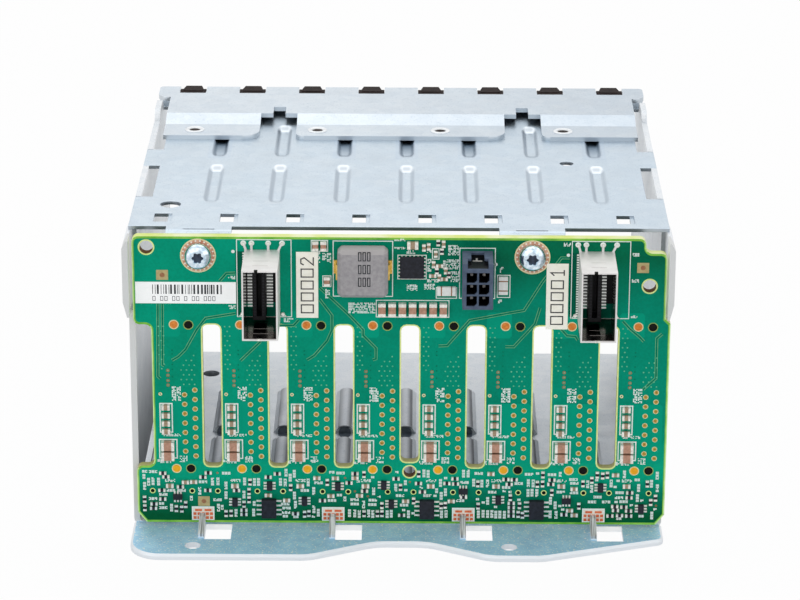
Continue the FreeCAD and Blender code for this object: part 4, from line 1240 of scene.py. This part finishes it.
# Three rows of boxes for the print on the inductor, a little off its middle
mark_width, mark_length = 0.85, 2.4
mark_column, mark_row = 1.1, 3.3
mark_shift_x, mark_shift_z = 0.4, 1.5
mark_line = 0.24
for column in (-1, 0, 1):
    for row in (-1, 0, 1):
        x = coil_x + mark_shift_x + column * mark_column
        z = coil_z + mark_shift_z + row * mark_row
        ink.frame(*about(x, z, mark_width / 2, mark_length / 2), mark_line, ink_height, "ink", coil_low.y)
ink.finish("label_print", "label_paper")

# Pressed beads of the top panel, as smooth linings over the plain grooves
bead_to_lane = 7.0
bead_start = 21.6
bead_lengths = (31.9, 28.7)
bead_gap = 5.8
bead_half = 2.1
bead_depth = 0.8
bead_corner = 1.4
bead_wall = 1.2
bead_end_ease = 0.26
bead_margin = 0.9
bead_columns = 24
bead_skin = 0.04
bead_lift = 0.004
bead_level = panel_top / MM + bead_lift
end_zone = 6.5
end_step = 0.25
notch_beads = (1, 5)


def bead_places():
    """Column, row, middle line, rear end and length of each bead, the same for the panel and the tray."""
    for column, lane in enumerate(lanes[:-1]):
        start = board_high.y + bead_start
        for row, length in enumerate(bead_lengths):
            yield column, row, lane + bead_to_lane, start, length
            start += length + bead_gap


def bead_height(u, from_end):
    """Height of a bead's lining so far from its middle line and its end: full depth inside its outline."""
    past_u = max(bead_corner - (bead_half - abs(u)), 0)
    past_v = max(bead_corner - from_end, 0)
    share = min(max((bead_corner - math.hypot(past_u, past_v)) / bead_wall, 0), 1)
    return bead_level - bead_depth * share * share * (3 - 2 * share)


def bead_rows(half_v):
    """Places along a bead, close together at its two ends."""
    end = half_v + bead_margin
    near = [i * end_step - end for i in range(round(end_zone / end_step) + 1)]
    return near + [-v for v in reversed(near)]


def strip(x, rows, half, columns, height, skin):
    """Rings of a thin sheet about a middle line, over rows of y and distance from the end."""
    line = [half * (2 * i / columns - 1) for i in range(columns + 1)]
    rings = []
    for y, from_end in rows:
        upper = [(x + u, y, height(u, from_end)) for u in line]
        rings.append(upper + [(px, py, pz - skin) for px, py, pz in reversed(upper)])
    return rings


beads = Build()
for column, row, x, start, length in bead_places():
    kind = "dim_bead" if row and column not in notch_beads else "bead"
    rows = [(start + length / 2 + v, (length / 2 - abs(v)) * bead_end_ease) for v in bead_rows(length / 2)]
    beads.skin(strip(x, rows, bead_half + bead_margin, bead_columns, bead_height, bead_skin), kind)
beads.finish("panel_beads", "zinc_steel", smooth=True)

# Rounded crowns on the beads of the tray, and dark plates of painted shade in and before their open rear
# mouths
crown_half = 1.85
crown_rise = 0.8
crown_skin = 0.3
crown_rows = 40
crown_columns = 16
crown_slope = 0.85
tray_bead_top = 2.9
mouth_reach = 3.2
mouth_half = 1.65
mouth_rise = 1.75
mouth_arc = [(math.cos(turn), math.sin(turn) ** 0.7) for turn in (math.pi * i / 16 for i in range(17))]


def crown_height(u, from_end):
    """Height of a crown so far from its middle line and its rounded end."""
    off = min(math.hypot(u, max(crown_half - from_end, 0)) / crown_half, 1)
    return tray_bead_top - sink + crown_rise * math.sqrt(1 - off * off)


crowns = Build()
mouth_shades = Build()
for column, row, x, start, length in bead_places():
    opened = row == 1
    slope = 0 if opened else crown_slope
    near, far = start + slope, start + length - slope
    rows = []
    for i in range(crown_rows + 1):
        y = near + (far - near) * (1 - math.cos(math.pi * i / crown_rows)) / 2
        rows.append((y, far - y if opened else min(far - y, y - near)))
    crowns.skin(strip(x, rows, crown_half, crown_columns, crown_height, crown_skin), "tray_bead")
    if opened:
        # Painted shade: a dark hood in the open mouth and a dark apron on the floor before it
        hood = [(x + mouth_half * side, flange_top + mouth_rise * rise) for side, rise in mouth_arc]
        mouth_shades.skin([at(hood, near - 0.06), at(hood, near + 0.02)], "mouth")
        apron = [(x + mouth_half * side, near - 0.05 - mouth_reach * rise) for side, rise in mouth_arc]
        mouth_shades.skin([lying(apron, flange_top - sink), lying(apron, flange_top + 0.03)], "mouth")
crowns.finish("tray_bead_crowns", "zinc_steel", smooth=True)
mouth_shades.finish("tray_bead_mouth_shades", "zinc_steel")

# Near-white glowing plates on the cut edges of the flange windows, under the foot of the board: painted light
edges = Build()
window_start, window_end = 0.75, 7.45
window_front = face + 1.0
for x in hook_places:
    edges.block((x + window_start + sink, window_front - 0.03, sink),
                (x + window_end - sink, window_front + sink, flange_top - sink), "lining")
edges.finish("window_edge_glow", "zinc_steel")

# Round eyelets in the brace, with a dark sleeve of painted shade in the bore
eyelets = Build()
eyelet_flare = 0.3
eyelet_sides = 32
for low, high in solids_of("brace_eyelets"):
    x, y = (low.x + high.x) / 2, (low.y + high.y) / 2
    radius = (high.x - low.x) / 2 + eyelet_flare
    bore = radius * 0.55
    rim, seat = high.z, low.z
    flare = [(bore, seat), (radius * 0.8, seat), (radius * 0.82, rim - 0.5), (radius, rim - 0.42),
             (radius, rim - 0.22), (radius * 0.9, rim - 0.04), (radius * 0.78, rim), (bore * 1.1, rim - 0.18),
             (bore, rim - 0.4)]
    shade_sleeve = [(bore + 0.05, rim - 0.42), (bore - 0.03, rim - 0.42), (bore - 0.03, seat + 0.1),
              (bore + 0.05, seat + 0.1)]
    for profile, kind in ((flare, "eyelet"), (shade_sleeve, "eyelet_bore")):
        eyelets.skin([lying(circle(x, y, r, eyelet_sides), z) for r, z in profile], kind, closed=True)
eyelets.finish("round_eyelets", "eyelet_steel", "brace_eyelets", smooth=True)

# Lips of the clips on the brace, dark plates that also stand for painted shade in the gap of the brace's
# notches
lips = Build()
lip_reach = 1.5
lip_depth = 0.25
lip_root = 0.3
brace_top = span("front_brace")[1].z
for i in range(8):
    low, high = span(f"front_clip_{i + 1}")
    lips.block((low.x, low.y - lip_reach, brace_top - lip_depth),
               (high.x, low.y + lip_root, brace_top + proud), "clip")
lips.finish("clip_lips_and_gap_shade", "clip_black")

# Pan-head screws with a six-lobed recess, darkened inside by a plug of painted shade
screws = Build()
lobes = 6
turn_steps = 48
head_grow = 1.07

# Size, depth and lobes of each ring, as shares of the head's radius, of its height and of the ring
head_profile = [
    (0.3, 0.8, 0.16), (0.36, 0.08, 0.16), (0.4, 0.02, 0.14), (0.55, 0, 0), (0.78, 0.14, 0), (0.92, 0.36, 0),
    (1, 0.66, 0), (1, 1, 0), (0.45, 1, 0),
]
# Dark plug in the recess: painted shade
recess_shade = [(0.34, 0.42, 0.16), (0.34, 0.9, 0.16)]


def lobed_ring(x, y, z, radius, lobed):
    """Ring of points about a screw's axis, in and out with the lobes."""
    ring = []
    for i in range(turn_steps):
        turn = math.tau * i / turn_steps
        reach = radius * (1 + lobed * math.cos(lobes * turn))
        ring.append((x + reach * math.cos(turn), y, z + reach * math.sin(turn)))
    return ring


for low, high in screw_boxes:
    x, z = middle_of(low, high)
    radius = (high.x - low.x) / 2 * head_grow
    tall = face - low.y
    shank = (0.45, (high.y - low.y) / tall, 0)
    for profile, kind in ((head_profile + [shank], "screw"), (recess_shade, "screw_dark")):
        rings = [lobed_ring(x, low.y + tall * depth, z, radius * size, lobed)
                 for size, depth, lobed in profile]
        screws.skin(rings, kind)
screws.finish("lobed_screws", "screw_zinc", "board_screws", smooth=True)


# Floor, world, lamps and camera

# White floor just under the part; it glows where it is seen, but not under the tray, where a dark grey colour
# is painted shadow
floor_half = 6.0
floor_drop = 0.2
floor_level = cad_box[0].z - floor_drop * MM
floor_glow = 0.96
under_half_x = 0.9 * cad_box[1].x
under_rear = (board_high.y + 4) * MM
under_front = 0.9 * cad_box[1].y
floor_mesh = bpy.data.meshes.new("floor")
floor_corners = lying(rectangle(-floor_half, floor_half, -floor_half, floor_half), floor_level)
floor_mesh.from_pydata(floor_corners, [], [(0, 1, 2, 3)])
floor = bpy.data.objects.new("floor", floor_mesh)
scene.collection.objects.link(floor)
floor_paint = new_paint("floor_white")


def beyond(axis, start, end):
    """One outside a range of the floor along an axis, nought inside it."""
    shifted = floor_paint.reckon("SUBTRACT", floor_paint.part_of("Object", axis), (start + end) / 2)
    return floor_paint.reckon("GREATER_THAN", floor_paint.reckon("ABSOLUTE", shifted), (end - start) / 2)


outside = floor_paint.reckon("MAXIMUM", beyond("X", -under_half_x, under_half_x),
                             beyond("Y", under_rear, under_front))
# Painted shadow: a dark grey base colour under the tray
floor_paint.shade({"Base Color": floor_paint.mix(outside, (70, 71, 73), (236, 237, 239)), "Roughness": 0.9})
glow_share = floor_paint.times(floor_paint.seen_directly(), floor_glow, outside)
blend = floor_paint.node("MixShader", {0: glow_share, 1: floor_paint.shader.outputs[0],
                                       2: floor_paint.node("Emission").outputs[0]})
floor_paint.feed(floor_paint.tree.nodes["Material Output"].inputs["Surface"], blend.outputs[0])
floor_mesh.materials.append(paints["floor_white"])

# White world, with half its strength for the light that it throws
scene.world = bpy.data.worlds.new("studio")
sky = Paint(scene.world)
sky.shade({"Color": white, "Strength": sky.rise(sky.seen_directly(), 0.0, 1.0, 0.5, 1.0)})

lamp_target = Vector((0, 0, 0.04))


def softbox(name, place, size, power):
    """Square area lamp aimed at the middle of the object."""
    lamp = bpy.data.lights.new(name, "AREA")
    lamp.shape = "SQUARE"
    lamp.size = size
    lamp.energy = power
    holder = bpy.data.objects.new(name, lamp)
    holder.location = place
    holder.rotation_euler = (lamp_target - Vector(place)).to_track_quat("-Z", "Y").to_euler()
    scene.collection.objects.link(holder)


softbox("overhead", (0.0, 0.42, 1.0), 1.6, 4.6)
softbox("front_left", (-0.8, -1.0, 0.7), 1.9, 6.8)
softbox("front_right", (0.9, -0.9, 0.6), 1.8, 4.2)

# Camera matched to the photograph's 800 by 600 frame
camera_place = Vector((0.00372, -0.82317, 0.34649))
yaw, pitch, roll = (math.radians(angle) for angle in (-0.248, 20.217, 0.231))
focal_pixels = 3336.16
frame_width = 800
forward = Vector((math.sin(yaw) * math.cos(pitch), math.cos(yaw) * math.cos(pitch), -math.sin(pitch)))
level = Vector((math.cos(yaw), -math.sin(yaw), 0))
upright = level.cross(forward)
right = math.cos(roll) * level + math.sin(roll) * upright
up = math.cos(roll) * upright - math.sin(roll) * level
camera_data = bpy.data.cameras.new("camera")
camera_data.sensor_width = 36
camera_data.sensor_fit = "HORIZONTAL"
camera_data.lens = camera_data.sensor_width * focal_pixels / frame_width
camera = bpy.data.objects.new("camera", camera_data)
turned = Matrix((right, up, -forward)).transposed().to_4x4()
camera.matrix_world = Matrix.Translation(camera_place) @ turned
scene.collection.objects.link(camera)
scene.camera = camera
